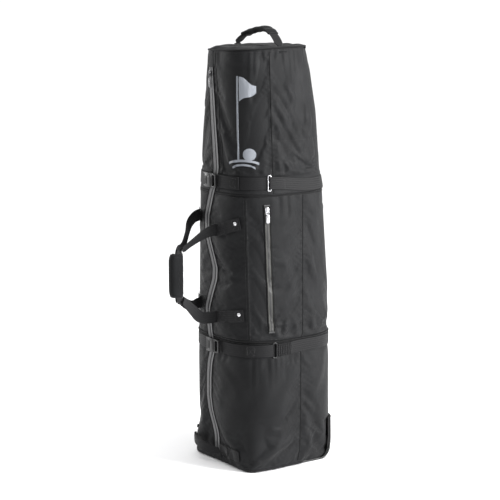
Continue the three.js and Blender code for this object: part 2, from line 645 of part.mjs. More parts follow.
// The four sewn ends of the carry handles, each with a rivet through it.
const ANCHOR = {
  reach: { upper_right: 98, lower_right: 112, upper_left: -108, lower_left: -112 }, // x of each rivet
  // how far each end climbs outwards
  rise: { upper_right: 28, lower_right: 16, upper_left: 8, lower_left: 4 },
  beyond: 12,
  rivetR: 5,
  rivetLift: 4.6,
  capLift: -CLOTH - 4,
};
function addAnchor(side, level) {
  const name = level + "_" + side;
  const { way, hinge, [level]: z } = CARRY_SIDES[side];
  const inner = hinge + way * 2;
  const outer = ANCHOR.reach[name] + way * ANCHOR.beyond;
  const x = (u) => inner + (outer - inner) * u;
  const rise = (u) => ANCHOR.rise[name] * u;
  const surface = (lift) => (u, v) => acrossBody(x(u), z + rise(u) + WEBBING * (v - 0.5), lift);
  const rivetX = ANCHOR.reach[name];
  const rivetZ = z + rise((rivetX - inner) / (outer - inner)) + 4;
  const base = new THREE.Vector3(...acrossBody(rivetX, rivetZ, ANCHOR.capLift));
  const tip = new THREE.Vector3(...acrossBody(rivetX, rivetZ, ANCHOR.rivetLift));
  const outward = tip.clone().sub(base).normalize();
  const turn = new THREE.Quaternion().setFromUnitVectors(new THREE.Vector3(0, 1, 0), outward);
  const stud = (r, from, to) => {
    const g = new THREE.CylinderGeometry(r, r, to - from, 12).translate(0, (from + to) / 2, 0);
    return g.applyQuaternion(turn).translate(...base);
  };
  const reach = tip.distanceTo(base);
  const hole = stud(2.6, -4, reach + 4);
  add("carry_anchor_" + name, cut(plate(8, 2, surface(GAP + WEB_THICK), surface(GAP)), hole), WEB_MATERIAL);
  const target = bag.getObjectByName("middle_front_" + side);
  target.geometry = cut(target.geometry, hole);
  const head = stud(ANCHOR.rivetR, reach - 1.9, reach);
  const cap = stud(ANCHOR.rivetR, 0, 1.4);
  add("carry_rivet_" + name, joined(head, stud(2.2, 0, reach), cap), METAL_MATERIAL);
}
for (const side of ["right", "left"]) {
  addAnchor(side, "upper");
  addAnchor(side, "lower");
}

// ---------- top handle ----------
// The arch's heights over its feet, from the left end to the right one; it leans to the right as it
// is stored.
const TOP_ARCH = [
  [0, 0],
  [0.07, 14],
  [0.18, 28],
  [0.34, 40],
  [0.52, 48],
  [0.66, 51],
  [0.78, 45],
  [0.9, 26],
  [1, 0],
];
function archPoint([t, rise]) {
  return [TOP_HANDLE.left + (TOP_HANDLE.right - TOP_HANDLE.left) * t, TOP_HANDLE.y, TOP_HANDLE.z + rise];
}
function archFrame(points) {
  return points.map((_, k) => {
    const a = points[Math.max(0, k - 1)];
    const b = points[Math.min(points.length - 1, k + 1)];
    const long = Math.hypot(b[0] - a[0], b[2] - a[2]);
    return [-(b[2] - a[2]) / long, 0, (b[0] - a[0]) / long];
  });
}
// The arch as a flat bar of this width, narrower at both ends by the share foot.
function alongArch(arch, width, thick, foot = 1) {
  const centres = arch.map(archPoint);
  const ups = archFrame(centres);
  const across = centres.map((_, k) => [0, k === 0 || k === centres.length - 1 ? foot : 1, 0]);
  return sweep(centres, across, ups, oblong(width, thick));
}
const oblong = (w, t) => [[-w / 2, -t / 2], [w / 2, -t / 2], [w / 2, t / 2], [-w / 2, t / 2]];
const topWebbing = alongArch(TOP_ARCH, TOP_HANDLE.width, 3, TOP_HANDLE.foot / TOP_HANDLE.width);
add("top_handle_webbing", topWebbing, WEB_MATERIAL);
{
  // The padded wrap is a sleeve round the middle of the arch.
  const sleeve = TOP_ARCH.slice(2, 7);
  const outside = alongArch(sleeve, 40, 13);
  const inside = alongArch(TOP_ARCH.slice(1, 8), 31.5, 4.4);
  add("top_handle_wrap", cut(outside, inside), WEB_MATERIAL);
}

// ---------- bottom handle ----------
{
  const { z, width, foot, right, left, proud, start } = BOTTOM_HANDLE;
  const steps = 10;
  const point = (thick) => (u, v) => {
    const x = right + (left - right) * u;
    const bow = (proud - start) * Math.sin(Math.PI * u) ** 0.7;
    const spread = Math.min(1, 5 * u, 5 * (1 - u));
    const across = foot + (width - foot) * spread;
    return acrossBody(x, z + across * (v - 0.5), start + bow + thick);
  };
  add("bottom_handle", plate(steps, 1, point(3.5), point(0)), WEB_MATERIAL);
}

// ---------- wheel base, base panel, boards and foot ----------
function mirrorX(geometry) {
  const other = mergeVertices(bareGeometry(geometry)).applyMatrix4(new THREE.Matrix4().makeScale(-1, 1, 1));
  const index = other.index.array;
  for (let i = 0; i < index.length; i += 3) [index[i + 1], index[i + 2]] = [index[i + 2], index[i + 1]];
  return other;
}

// The wheel base's outer line at x, from its front edge along the floor and up the back, as [y, z] pairs.
// The part on the floor is sunk by under, and the part above it stands out by lift.
function kickPath(x, lift, under) {
  const { front, radius, top } = KICK;
  const wallAt = (z) => acrossBody(x, z, 0, 1)[1];
  const edge = wallAt(radius) - radius;
  const rows = [[front, under], [(front + edge) / 2, under], [edge, under]];
  for (const t of [18, 36, 54, 72].map(radians))
    rows.push([edge + (radius + lift) * Math.sin(t), Math.max(0, radius - (radius + lift) * Math.cos(t))]);
  for (const z of [radius, radius + 28, 96, top]) rows.push([wallAt(z) + lift, z]);
  return rows;
}

function wheelBase() {
  const { halfWidth, ribHalf, ribHeight, thick } = KICK;
  const ribs = [-55, 0, 55];
  const ribColumns = ribs.flatMap((r) => [-ribHalf - 1, -ribHalf, ribHalf, ribHalf + 1].map((d) => r + d));
  const columns = [-halfWidth, -132, -100, ...ribColumns, 100, 132, halfWidth];
  const onRib = (x) => ribs.some((r) => Math.abs(x - r) < ribHalf + 0.5);
  const rise = (x) => (onRib(x) ? ribHeight : 0);
  const outer = (u, v, i, j) => [columns[i], ...kickPath(columns[i], rise(columns[i]), 0)[j]];
  const inner = (u, v, i, j) => [columns[i], ...kickPath(columns[i], -thick, thick)[j]];
  const skin = plate(columns.length - 1, 10, outer, inner);
  const { x0, x1, y0, z1, wall } = WELL;
  const profile = kickPath((x0 + x1) / 2, -0.5, 0.5).filter(([y, z]) => y > y0 - wall && z <= z1 + wall);
  const shape = new THREE.Shape();
  shape.moveTo(y0 - wall, 0.5);
  for (const [y, z] of profile) shape.lineTo(y, z);
  shape.lineTo(profile.at(-1)[0], z1 + wall);
  shape.lineTo(y0 - wall, z1 + wall);
  const housing = new THREE.ExtrudeGeometry(shape, { depth: x1 - x0 + 2 * wall, bevelEnabled: false });
  // The shape lies in the (y, z) plane and is extruded along x.
  const [y, z, x] = [new THREE.Vector3(0, 1, 0), new THREE.Vector3(0, 0, 1), new THREE.Vector3(1, 0, 0)];
  placed(housing, new THREE.Vector3(x0 - wall, 0, 0), y, z, x);
  const hollow = block([x0, y0, -20], [x1, y0 + 200, z1]);
  const axleHole = rod(x0 - 20, x1 + 20, WHEEL.y, WHEEL.z, WHEEL.axleR + GAP);
  return cut(joined(skin, housing, mirrorX(housing)), hollow, mirrorX(hollow), axleHole, mirrorX(axleHole));
}

// Room for the wheel wells and the curved corners of the wheel base.
function cornerRoom() {
  const room = WELL.wall + 0.6;
  const well = block([WELL.x0 - room, WELL.y0 - room, -5], [200, 260, 40]);
  const corner = block([132, 55, -5], [200, 260, 40]);
  return [well, corner, mirrorX(well), mirrorX(corner)];
}

add("wheel_base", wheelBase(), PLASTIC_MATERIAL);
{
  // A flat panel that closes the bottom; behind, it lies inside the wheel base's wall.
  const outline = (share, angle, z) => {
    const [x, y] = onBody(angle, BASE_UNDER, -CLOTH - 5);
    return [x * share, Math.min(y, 124) * share, z];
  };
  const upper = (share, angle) => outline(share, angle, BASE_UNDER + BASE_THICK);
  const under = (share, angle) => outline(share, angle, BASE_UNDER);
  const sheet = disc(32, 1, upper, under);
  add("base_panel", cut(sheet, ...cornerRoom()), BOARD_MATERIAL);
  const foot = block([-120, -140, 0], [120, -112, BASE_UNDER - GAP]);
  add("front_foot", foot, RUBBER_MATERIAL);
}
{
  // A stiff board down the inside of the back, from over the wheel base to the hood.
  const surface = (lift) => (u, v) => acrossBody(-105 + 210 * u, 150 + 670 * v, lift, 1);
  add("back_board", plate(8, 5, surface(-CLOTH - 3), surface(-CLOTH - 6)), BOARD_MATERIAL);
}
{
  // Foam that lines the hood where the club heads sit.
  const rows = [1000, 1100, 1220, 1270];
  const surface = (lift) => (u, v, i, j) => onBody(-70 + 320 * u, rows[j], lift);
  add("hood_foam_liner", plate(20, rows.length - 1, surface(-CLOTH - 3), surface(-CLOTH - 9)), FOAM_MATERIAL);
}

// ---------- wheels ----------
const AXLE_SIDES = 24;
const RUNNING = 0.085; // between the axle and the bearing's bore, so that they clear at any angle
function ring(x0, x1, inner, outer, crown = 0, around = 18) {
  const middle = (x0 + x1) / 2;
  const flat = (x1 - x0) / 5;
  const tread = crown ? [[outer, middle - flat], [outer, middle + flat]] : [];
  const profile = [[inner, x0], [outer - crown, x0], ...tread, [outer - crown, x1], [inner, x1], [inner, x0]];
  const geometry = new THREE.LatheGeometry(profile.map(([r, x]) => new THREE.Vector2(r, x)), around);
  // The lathe turns round y; the wheel turns round x.
  geometry.rotateZ(-Math.PI / 2);
  geometry.translate(0, WHEEL.y, WHEEL.z);
  return geometry;
}

function addWheel(name, side) {
  const { width, x, r, hubR, bearingR, axleR } = WHEEL;
  const span = (w) => [side * x - w / 2, side * x + w / 2];
  add("wheel_tyre_" + name, ring(...span(width), hubR + 0.3, r, 4), RUBBER_MATERIAL);
  add("wheel_hub_" + name, ring(...span(width - 2), bearingR + 0.3, hubR), PLASTIC_MATERIAL);
  add("wheel_bearing_" + name, ring(...span(8), axleR + RUNNING, bearingR, 0, AXLE_SIDES), METAL_MATERIAL);
  const axle = rod(...span(WELL.x1 - WELL.x0 + 5), WHEEL.y, WHEEL.z, axleR, AXLE_SIDES);
  add("wheel_axle_" + name, axle, METAL_MATERIAL);
}
addWheel("right", 1);
addWheel("left", -1);

export default bag;
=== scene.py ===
"""Looks of a soft golf travel case: cloth shell, zips, webbing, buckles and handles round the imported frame."""

import math

import bpy
import numpy as np
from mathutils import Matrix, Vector


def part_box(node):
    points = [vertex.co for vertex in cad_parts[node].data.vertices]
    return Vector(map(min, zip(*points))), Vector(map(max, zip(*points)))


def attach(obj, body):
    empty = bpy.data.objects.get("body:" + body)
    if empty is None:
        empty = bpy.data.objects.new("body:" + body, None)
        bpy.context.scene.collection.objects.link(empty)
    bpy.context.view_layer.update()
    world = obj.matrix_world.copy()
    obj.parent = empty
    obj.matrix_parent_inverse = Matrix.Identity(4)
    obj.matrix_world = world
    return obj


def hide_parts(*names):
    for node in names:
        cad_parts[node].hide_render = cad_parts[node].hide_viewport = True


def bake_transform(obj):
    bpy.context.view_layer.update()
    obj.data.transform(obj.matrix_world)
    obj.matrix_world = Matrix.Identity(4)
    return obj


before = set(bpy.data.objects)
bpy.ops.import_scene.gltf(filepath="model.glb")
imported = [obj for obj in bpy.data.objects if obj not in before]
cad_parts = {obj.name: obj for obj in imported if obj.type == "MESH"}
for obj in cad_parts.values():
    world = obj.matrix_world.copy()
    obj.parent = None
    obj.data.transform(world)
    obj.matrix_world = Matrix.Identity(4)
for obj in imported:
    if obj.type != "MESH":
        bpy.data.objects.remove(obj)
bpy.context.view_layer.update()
rng = np.random.default_rng(7)

# ---------- driving dimensions, metres ----------
HEIGHT = 1.280
LOWER_SEAM = 0.409
UPPER_SEAM = 0.856
LOWER_STRAP = 0.381
UPPER_STRAP = 0.892
BASE = 0.004
STRAP_WIDTH = 0.038
ZIP_GAP = 0.030
ZIP_BOTTOM = 0.014
ZIP_TOP = 1.272
ZIP_GUARD_LOW = 0.044
ZIP_GUARD_TOP = 1.228
CROWN = 0.018
HEEL_RADIUS = 0.045
HEEL_BACK = 0.170

# Up the bag: height, half-width, how far the front and the back stand from the axis, and squareness.
STATIONS = np.array([
    [0.000, 0.160, 0.158, 0.155, 7.0],
    [0.060, 0.174, 0.167, 0.172, 4.6],
    [0.200, 0.177, 0.175, 0.176, 3.8],
    [LOWER_SEAM, 0.177, 0.184, 0.182, 3.1],
    [0.560, 0.1724, 0.183, 0.182, 3.1],
    [UPPER_SEAM, 0.163, 0.181, 0.160, 3.1],
    [1.100, 0.149, 0.1709, 0.146, 3.0],
    [1.220, 0.138, 0.166, 0.126, 3.0],
    [HEIGHT, 0.128, 0.1635, 0.104, 3.0],
])

# x of the main zip at a few heights; its top stretch is straight.
ZIP_LINE = np.array([
    [0.040, -0.018], [0.086, -0.012], [0.117, -0.021], [0.162, -0.040], [0.209, -0.047], [0.272, -0.042],
    [0.320, -0.033], [0.362, -0.015], [0.452, -0.032], [0.489, -0.041], [0.540, -0.021], [0.585, 0.000],
    [0.622, 0.003], [0.662, -0.015], [0.708, -0.037], [0.745, -0.045], [0.779, -0.044], [0.820, -0.030],
    [0.876, -0.010], [0.930, 0.004], [1.275, -0.0546],
])


# ---------- small maths ----------
def smoothstep(low, high, x):
    """A soft step from 0 at the first edge to 1 at the second."""
    t = np.clip((x - low) / (high - low), 0, 1)
    return t * t * (3 - 2 * t)


def bump(x, centre, width):
    """A soft bump of height 1 at its centre."""
    return np.exp(-(((x - centre) / width) ** 2))


def unit(v):
    """Directions scaled to length 1."""
    v = np.asarray(v, float)
    return v / np.maximum(np.linalg.norm(v, axis=-1, keepdims=True), 1e-12)


def turns(count):
    """Evenly spaced angles once round a circle, in radians."""
    return np.linspace(0, 2 * math.pi, count, endpoint=False)


def circle(count, radius):
    """The outline of a circle."""
    return np.column_stack([np.cos(turns(count)), np.sin(turns(count))]) * radius


def bell(width, reach):
    """The weights of a smoothing curve, reach samples either way, which add up to 1."""
    weights = np.exp(-(np.arange(-reach, reach + 1) / width) ** 2)
    return weights / weights.sum()


def lengths_along(points):
    """How far along its line each point lies."""
    return np.concatenate([[0], np.cumsum(np.linalg.norm(np.diff(points, axis=0), axis=1))])


def picked(wanted, at, rows):
    """The rows of numbers known at some places, at the wanted places between them."""
    return np.stack([np.interp(wanted, at, rows[:, k]) for k in range(rows.shape[1])], axis=1)


def resampled(points, count):
    """A smooth curve through points, as count points evenly spaced along it."""
    p = np.asarray(points, float)
    padded = np.vstack([2 * p[0] - p[1], p, 2 * p[-1] - p[-2]])
    fine = []
    for k in range(len(p) - 1):
        a, b, c, d = padded[k : k + 4]
        for t in np.linspace(0, 1, 16, endpoint=False):
            squared, cubed = 2 * a - 5 * b + 4 * c - d, 3 * b - a - 3 * c + d
            fine.append(0.5 * (2 * b + (c - a) * t + squared * t**2 + cubed * t**3))
    fine = np.array(fine + [p[-1]])
    reach = lengths_along(fine[:, :3])
    return picked(np.linspace(0, reach[-1], count), reach, fine)


def catmull_matrix(n, factor, closed=False):
    """The matrix that refines n samples by factor with a cubic through them."""
    m = n * factor if closed else (n - 1) * factor + 1
    out = np.zeros((m, n))
    for i in range(m):
        k, t = divmod(i, factor)
        t /= factor
        weights = [
            (-t + 2 * t**2 - t**3) / 2,
            (2 - 5 * t**2 + 3 * t**3) / 2,
            (t + 4 * t**2 - 3 * t**3) / 2,
            (-(t**2) + t**3) / 2,
        ]
        for w, j in zip(weights, range(k - 1, k + 3)):
            out[i, j % n if closed else min(max(j, 0), n - 1)] += w
    return out


# ---------- the outer surface of the bag ----------
FINE_Z = np.arange(-0.1, HEIGHT + 0.1, 0.001)
SOFTEN = 40  # millimetres either way that rounding the stations' corners takes in


def smooth_station(column):
    """A column of the stations at every millimetre, with its corners rounded."""
    z, size = STATIONS[:, 0], STATIONS[:, column]
    line = np.interp(FINE_Z, z, size)
    for end, beside, outside in ((0, 1, FINE_Z < z[0]), (-1, -2, FINE_Z > z[-1])):
        slope = (size[beside] - size[end]) / (z[beside] - z[end])
        line = np.where(outside, size[end] + slope * (FINE_Z - z[end]), line)
    return np.convolve(np.pad(line, SOFTEN, mode="edge"), bell(16.0, SOFTEN), mode="valid")


PROFILE = {name: smooth_station(k) for k, name in enumerate(["half", "front", "back", "square"], 1)}
ZIP_Z = np.arange(0, HEIGHT + 0.01, 0.001)
ZIP_RAW = np.pad(np.interp(ZIP_Z, *ZIP_LINE.T), 30, mode="reflect", reflect_type="odd")
ZIP_SMOOTH = np.convolve(ZIP_RAW, bell(11.0, 30), mode="valid")


def section(z):
    """The bag's size and squareness at a height."""
    return [np.interp(z, FINE_Z, PROFILE[k]) for k in ("half", "front", "back", "square")]


def zip_x(z):
    """The main zip's x at a height."""
    return np.interp(z, ZIP_Z, ZIP_SMOOTH)


def front_square(n, z):
    """How square the front half is: its corners sharpen towards the floor."""
    return n * (1 + 1.1 * smoothstep(0.13, 0.0, z))


def heel(z):
    """How far the cloth's back reaches: it rounds forward under the bag, inside the moulded wheel base."""
    up = np.clip(z, 0, HEEL_RADIUS)
    return HEEL_BACK - HEEL_RADIUS + np.sqrt(HEEL_RADIUS**2 - (HEEL_RADIUS - up) ** 2)


def base_point(angle, z):
    """The bag's surface and its outward direction at an angle (degrees: -90 front, 0 pocket side, 90 back)."""
    angle, z = np.broadcast_arrays(np.asarray(angle, float), np.asarray(z, float))
    half, front, back, n = section(z)
    c, s = np.cos(np.radians(angle)), np.sin(np.radians(angle))
    n = np.where(s < 0, front_square(n, z), n)
    depth = np.where(s < 0, front, np.where(z < HEEL_RADIUS, np.minimum(back, heel(z)), back))
    r = (np.abs(c / half) ** n + np.abs(s / depth) ** n) ** (-1 / n)
    nx = np.sign(c) * np.abs(r * c / half) ** (n - 1) / half
    ny = np.sign(s) * np.abs(r * s / depth) ** (n - 1) / depth
    normal = unit(np.stack([nx, ny, np.zeros_like(nx)], axis=-1))
    return np.stack([r * c, r * s, z], axis=-1), normal


def rim_rise(angle):
    """How much higher than its nominal height the hood's rim is sewn: most of it round the pocket side."""
    return 0.006 + 0.007 * np.cos(np.radians(angle - 20))


def angle_at_x(x, z):
    """The direction of the front surface at x."""
    half, front, _, n = section(z)
    n = front_square(n, z)
    y = -front * (1 - np.abs(x / half) ** n) ** (1 / n)
    return np.degrees(np.arctan2(y, x))


SEAM = {
    "hood": lambda z: np.interp(z, [UPPER_SEAM, HEIGHT], [-25, -28]),
    "front": lambda z: np.interp(z, [LOWER_SEAM, UPPER_SEAM], [-47.4, -51.8]),
    "back": lambda z: np.interp(z, [LOWER_SEAM - 0.02, LOWER_SEAM + 0.02, UPPER_SEAM], [5.5, 7.9, 11]),
}


# ---------- the cloth shell ----------
# Columns of the shell's grid run up the seams. Each key is a line, with evenly spaced columns between two keys.
KEYS = [
    "zip_right", "front_right", "hood_right", "back_right",
    "back_left", "hood_left", "front_left", "zip_left",
]
COLUMNS_AFTER = [11, 8, 11, 46, 11, 8, 9, 4]
ROW_PITCH = 0.0085


def key_angles(z):
    """The directions of the keys at height z, and of the first one again a turn later."""
    front, hood, back = SEAM["front"](z), SEAM["hood"](z), SEAM["back"](z)
    right = angle_at_x(zip_x(z) + ZIP_GAP / 2, z)
    left = angle_at_x(zip_x(z) - ZIP_GAP / 2, z) + 360
    return [right, front, hood, back, 180 - back, 180 - hood, 180 - front, left, right + 360]


def shell_rows():
    """The heights of the shell's rows, with one at every seam and at both edges of every strap."""
    stops = [BASE, 0.030, 0.132, LOWER_STRAP - 0.017, LOWER_STRAP + 0.017, LOWER_SEAM, UPPER_SEAM]
    stops += [UPPER_STRAP - 0.017, UPPER_STRAP + 0.017, HEIGHT]
    rows = []
    for a, b in zip(stops, stops[1:]):
        steps = max(2, round((b - a) / ROW_PITCH))
        rows += list(np.linspace(a, b, steps, endpoint=False))
    return np.array(rows + [HEIGHT])


ROWS = shell_rows()
KEY_COLUMN = dict(zip(KEYS, np.concatenate([[0], np.cumsum(COLUMNS_AFTER)[:-1]])))
COLUMN_COUNT = sum(COLUMNS_AFTER)


def shell_angles():
    """The direction of every column of the shell's grid, at each of its rows."""
    table = np.zeros((len(ROWS), COLUMN_COUNT))
    for i, z in enumerate(ROWS):
        keys = key_angles(z)
        columns = []
        for k, steps in enumerate(COLUMNS_AFTER):
            columns += list(np.linspace(keys[k], keys[k + 1], steps, endpoint=False))
        table[i] = columns
    return table


ANGLES = shell_angles()


def seam_lift():
    """How far each row's sewn points stand from the outer size: a little inside, deeper under the straps."""
    return -0.0015 - 0.0020 * (bump(ROWS, LOWER_STRAP, 0.026) + bump(ROWS, UPPER_STRAP, 0.026))


def behind_kick(points):
    """Where the moulded wheel base covers the cloth: 1 inside it, 0 outside."""
    inside = smoothstep(0.030, 0.045, points[..., 1]) * smoothstep(0.176, 0.160, np.abs(points[..., 0]))
    return inside * smoothstep(0.136, 0.128, points[..., 2])


def pinned_mask():
    """The grid points that are sewn down: seams, zip edges, under the straps and the ends."""
    pinned = np.zeros(ANGLES.shape, bool)
    pinned[0] = pinned[-1] = True
    for z in (LOWER_SEAM, UPPER_SEAM):
        pinned[np.argmin(np.abs(ROWS - z))] = True
    for strap in (LOWER_STRAP, UPPER_STRAP):
        pinned[np.abs(ROWS - strap) < 0.0175] = True
    pinned[:, KEY_COLUMN["zip_left"] :] = True
    pinned[:, 0] = True
    middle = (ROWS >= LOWER_SEAM) & (ROWS <= UPPER_SEAM)
    for key in ("front_right", "front_left"):
        pinned[middle, KEY_COLUMN[key]] = True
    for key in ("back_right", "back_left"):
        pinned[ROWS <= UPPER_SEAM, KEY_COLUMN[key]] = True
    for key in ("hood_right", "hood_left"):
        pinned[ROWS >= UPPER_SEAM, KEY_COLUMN[key]] = True
    return pinned


def grid_faces(rows, columns, closed=False):
    """The four-sided faces between neighbouring points of a grid."""
    i, j = np.meshgrid(np.arange(rows - 1), np.arange(columns if closed else columns - 1), indexing="ij")
    k = (j + 1) % columns
    low, high = i * columns, (i + 1) * columns
    return np.stack([low + j, low + k, high + k, high + j], -1).reshape(-1, 4)


def capped_faces(rows, columns):
    """The faces of a closed loft with flat ends."""
    ends = [list(range(columns))[::-1], [(rows - 1) * columns + j for j in range(columns)]]
    return grid_faces(rows, columns, closed=True).tolist() + ends


def raw_mesh(name, vertices, faces):
    """A Blender mesh made from points and faces."""
    mesh = bpy.data.meshes.new(name)
    points = np.asarray(vertices, float).reshape(-1, 3).tolist()
    mesh.from_pydata(points, [], [list(map(int, face)) for face in faces])
    mesh.update()
    return mesh


CLOTH_SETTINGS = {
    "quality": 7, "mass": 0.25, "tension_stiffness": 22, "compression_stiffness": 22, "shear_stiffness": 12,
    "bending_stiffness": 0.35, "air_damping": 2.0, "use_pressure": True, "uniform_pressure_force": 2.2,
    "shrink_min": -0.011, "vertex_group_mass": "sewn", "pin_stiffness": 30,
}
CLOTH_STEPS = 30


def inflated(points, pinned):
    """The shell's grid after a cloth simulation: stuffed, held along its seams, pulled by gravity."""
    rows, columns = points.shape[:2]
    flat = points.reshape(-1, 3)
    bottom, top = [0, 0, BASE], [0, 0, HEIGHT]
    vertices = np.vstack([flat, bottom, top])
    faces = grid_faces(rows, columns, closed=True).tolist()
    low, high = len(flat), len(flat) + 1
    last = (rows - 1) * columns
    for j in range(columns):
        k = (j + 1) % columns
        faces.append([low, k, j])
        faces.append([high, last + j, last + k])
    shell = bpy.data.objects.new("shell_sim", raw_mesh("shell_sim", vertices, faces))
    bpy.context.scene.collection.objects.link(shell)
    group = shell.vertex_groups.new(name="sewn")
    sewn = np.nonzero(pinned.reshape(-1))[0].tolist() + [low, high]
    group.add(sewn, 1.0, "REPLACE")
    cloth = shell.modifiers.new("cloth", "CLOTH")
    for name, value in CLOTH_SETTINGS.items():
        setattr(cloth.settings, name, value)
    cloth.settings.effector_weights.gravity = 0.7
    cloth.collision_settings.use_collision = False
    cloth.collision_settings.use_self_collision = False
    cloth.point_cache.frame_start = 1
    cloth.point_cache.frame_end = CLOTH_STEPS + 10
    scene = bpy.context.scene
    for step in range(1, CLOTH_STEPS + 1):
        scene.frame_set(step)
    evaluated = shell.evaluated_get(bpy.context.evaluated_depsgraph_get())
    out = np.zeros(len(vertices) * 3)
    evaluated.data.vertices.foreach_get("co", out)
    out = out.reshape(-1, 3)[: len(flat)].reshape(points.shape)
    bpy.data.objects.remove(shell)
    scene.frame_set(1)
    return out


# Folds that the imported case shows: angle, height, length, width and depth in millimetres, tilt from upright.
FOLDS = [
    # hood, right of its front panel
    (-8, 1.19, 0.20, 20, 3.4, 38), (2, 1.10, 0.22, 22, 4, 30), (-16, 1.02, 0.12, 16, 2.8, -38),
    (14, 1.17, 0.18, 18, 3, 22), (20, 1.02, 0.16, 20, 3.4, 42), (-5, 0.965, 0.14, 15, 3.2, 60),
    (24, 0.94, 0.10, 14, 2.6, 18), (-20, 0.935, 0.06, 10, 2.6, 8), (-34, 0.94, 0.07, 11, 2.4, -12),
    (-44, 0.935, 0.06, 10, 2.2, 10), (-62, 0.93, 0.05, 10, 2, -8), (-40, 1.22, 0.10, 18, 2.2, -60),
    (-60, 1.245, 0.09, 12, 2, 80), (5, 0.925, 0.07, 10, 2.8, -14), (-10, 1.11, 0.13, 13, 3, -52),
    (-2, 1.15, 0.11, 12, 3, -48), (10, 1.06, 0.12, 13, 3, -55),
    # middle, pocket side and back
    (-8, 0.80, 0.10, 14, 2.6, 24), (2, 0.72, 0.22, 22, 3, 14), (-14, 0.60, 0.16, 18, 2.6, -16),
    (22, 0.66, 0.24, 22, 3, -10), (-12, 0.455, 0.07, 11, 3.4, 26), (-2, 0.445, 0.06, 10, 3.4, -18),
    (8, 0.47, 0.09, 12, 3, 34), (-22, 0.45, 0.06, 10, 2.8, -10), (18, 0.45, 0.06, 10, 3, 20),
    (-70, 0.62, 0.16, 22, 1, 20), (-75, 0.47, 0.07, 12, 1.4, -35), (-60, 0.72, 0.16, 22, 0.8, 40),
    # lower section
    (-25, 0.30, 0.20, 24, 3, 42), (-5, 0.25, 0.22, 26, 3.4, 36), (-48, 0.24, 0.20, 24, 1.8, 30),
    (-28, 0.19, 0.18, 22, 2.6, 52), (-60, 0.12, 0.14, 20, 2, 48), (12, 0.17, 0.16, 20, 3, 34),
    (-24, 0.045, 0.19, 14, 4.8, 66), (-52, 0.050, 0.10, 12, 3, -58), (-70, 0.28, 0.12, 14, 1.6, -28),
    (24, 0.30, 0.16, 20, 3, 30), (-15, 0.345, 0.05, 10, 2.6, 12), (-40, 0.34, 0.06, 11, 2.6, -14),
]
SEEDED_FOLDS = 90
FOLD_ARC = 0.00305  # metres along the surface for a degree round it


def all_folds():
    """The folds above, and smaller seeded ones all round, most of them near the seams and straps."""
    folds = [(angle, z, long, wide / 1000, deep / 1000, tilt) for angle, z, long, wide, deep, tilt in FOLDS]
    lines = [0.05, LOWER_SEAM - 0.055, LOWER_SEAM + 0.045]
    lines += [UPPER_SEAM - 0.045, UPPER_STRAP + 0.045, HEIGHT - 0.04]
    for _ in range(SEEDED_FOLDS):
        angle = rng.uniform(-80, 260)
        near = rng.random() < 0.6
        z = lines[rng.integers(len(lines))] + rng.normal(0, 0.02) if near else rng.uniform(0.05, 1.24)
        length = rng.uniform(0.04, 0.08) if near else rng.uniform(0.08, 0.18)
        tilt = rng.normal(0, 22) if near else rng.normal(0, 45)
        calm = 0.3 if angle < -46 and z > LOWER_SEAM else 1  # the front panel beside the zip lies smooth
        depth = calm * rng.uniform(0.0008, 0.0022)
        folds.append((angle, z, length, length * rng.uniform(0.13, 0.2), depth, tilt))
    return folds


def fold_height(angles, z):
    """The height of all the folds at each grid point."""
    total = np.zeros(angles.shape)
    for angle, height, length, width, depth, tilt in all_folds():
        away = (angles - angle + 180) % 360 - 180
        x, y = away * FOLD_ARC, z - height
        c, s = math.cos(math.radians(tilt)), math.sin(math.radians(tilt))
        along, across = x * s + y * c, x * c - y * s
        across = across + 0.12 * length * np.sin(along / length * 3 + angle)
        ridge = np.exp(-((across / width) ** 2)) - 0.75 * np.exp(-(((across - 1.5 * width) / width) ** 2))
        total += depth * ridge * np.exp(-((along / (0.5 * length)) ** 2))
    return total


REFINE = 3
DEGREE = 0.0031  # roughly the metres in a degree round the bag, to choose how many points a line has
DEEPEST, PROUDEST = -0.0045, 0.02  # the cloth stays outside the foam and the board that lie behind it
KICK_COVER = 0.0268  # how much lower than that it has to lie under the moulded wheel base


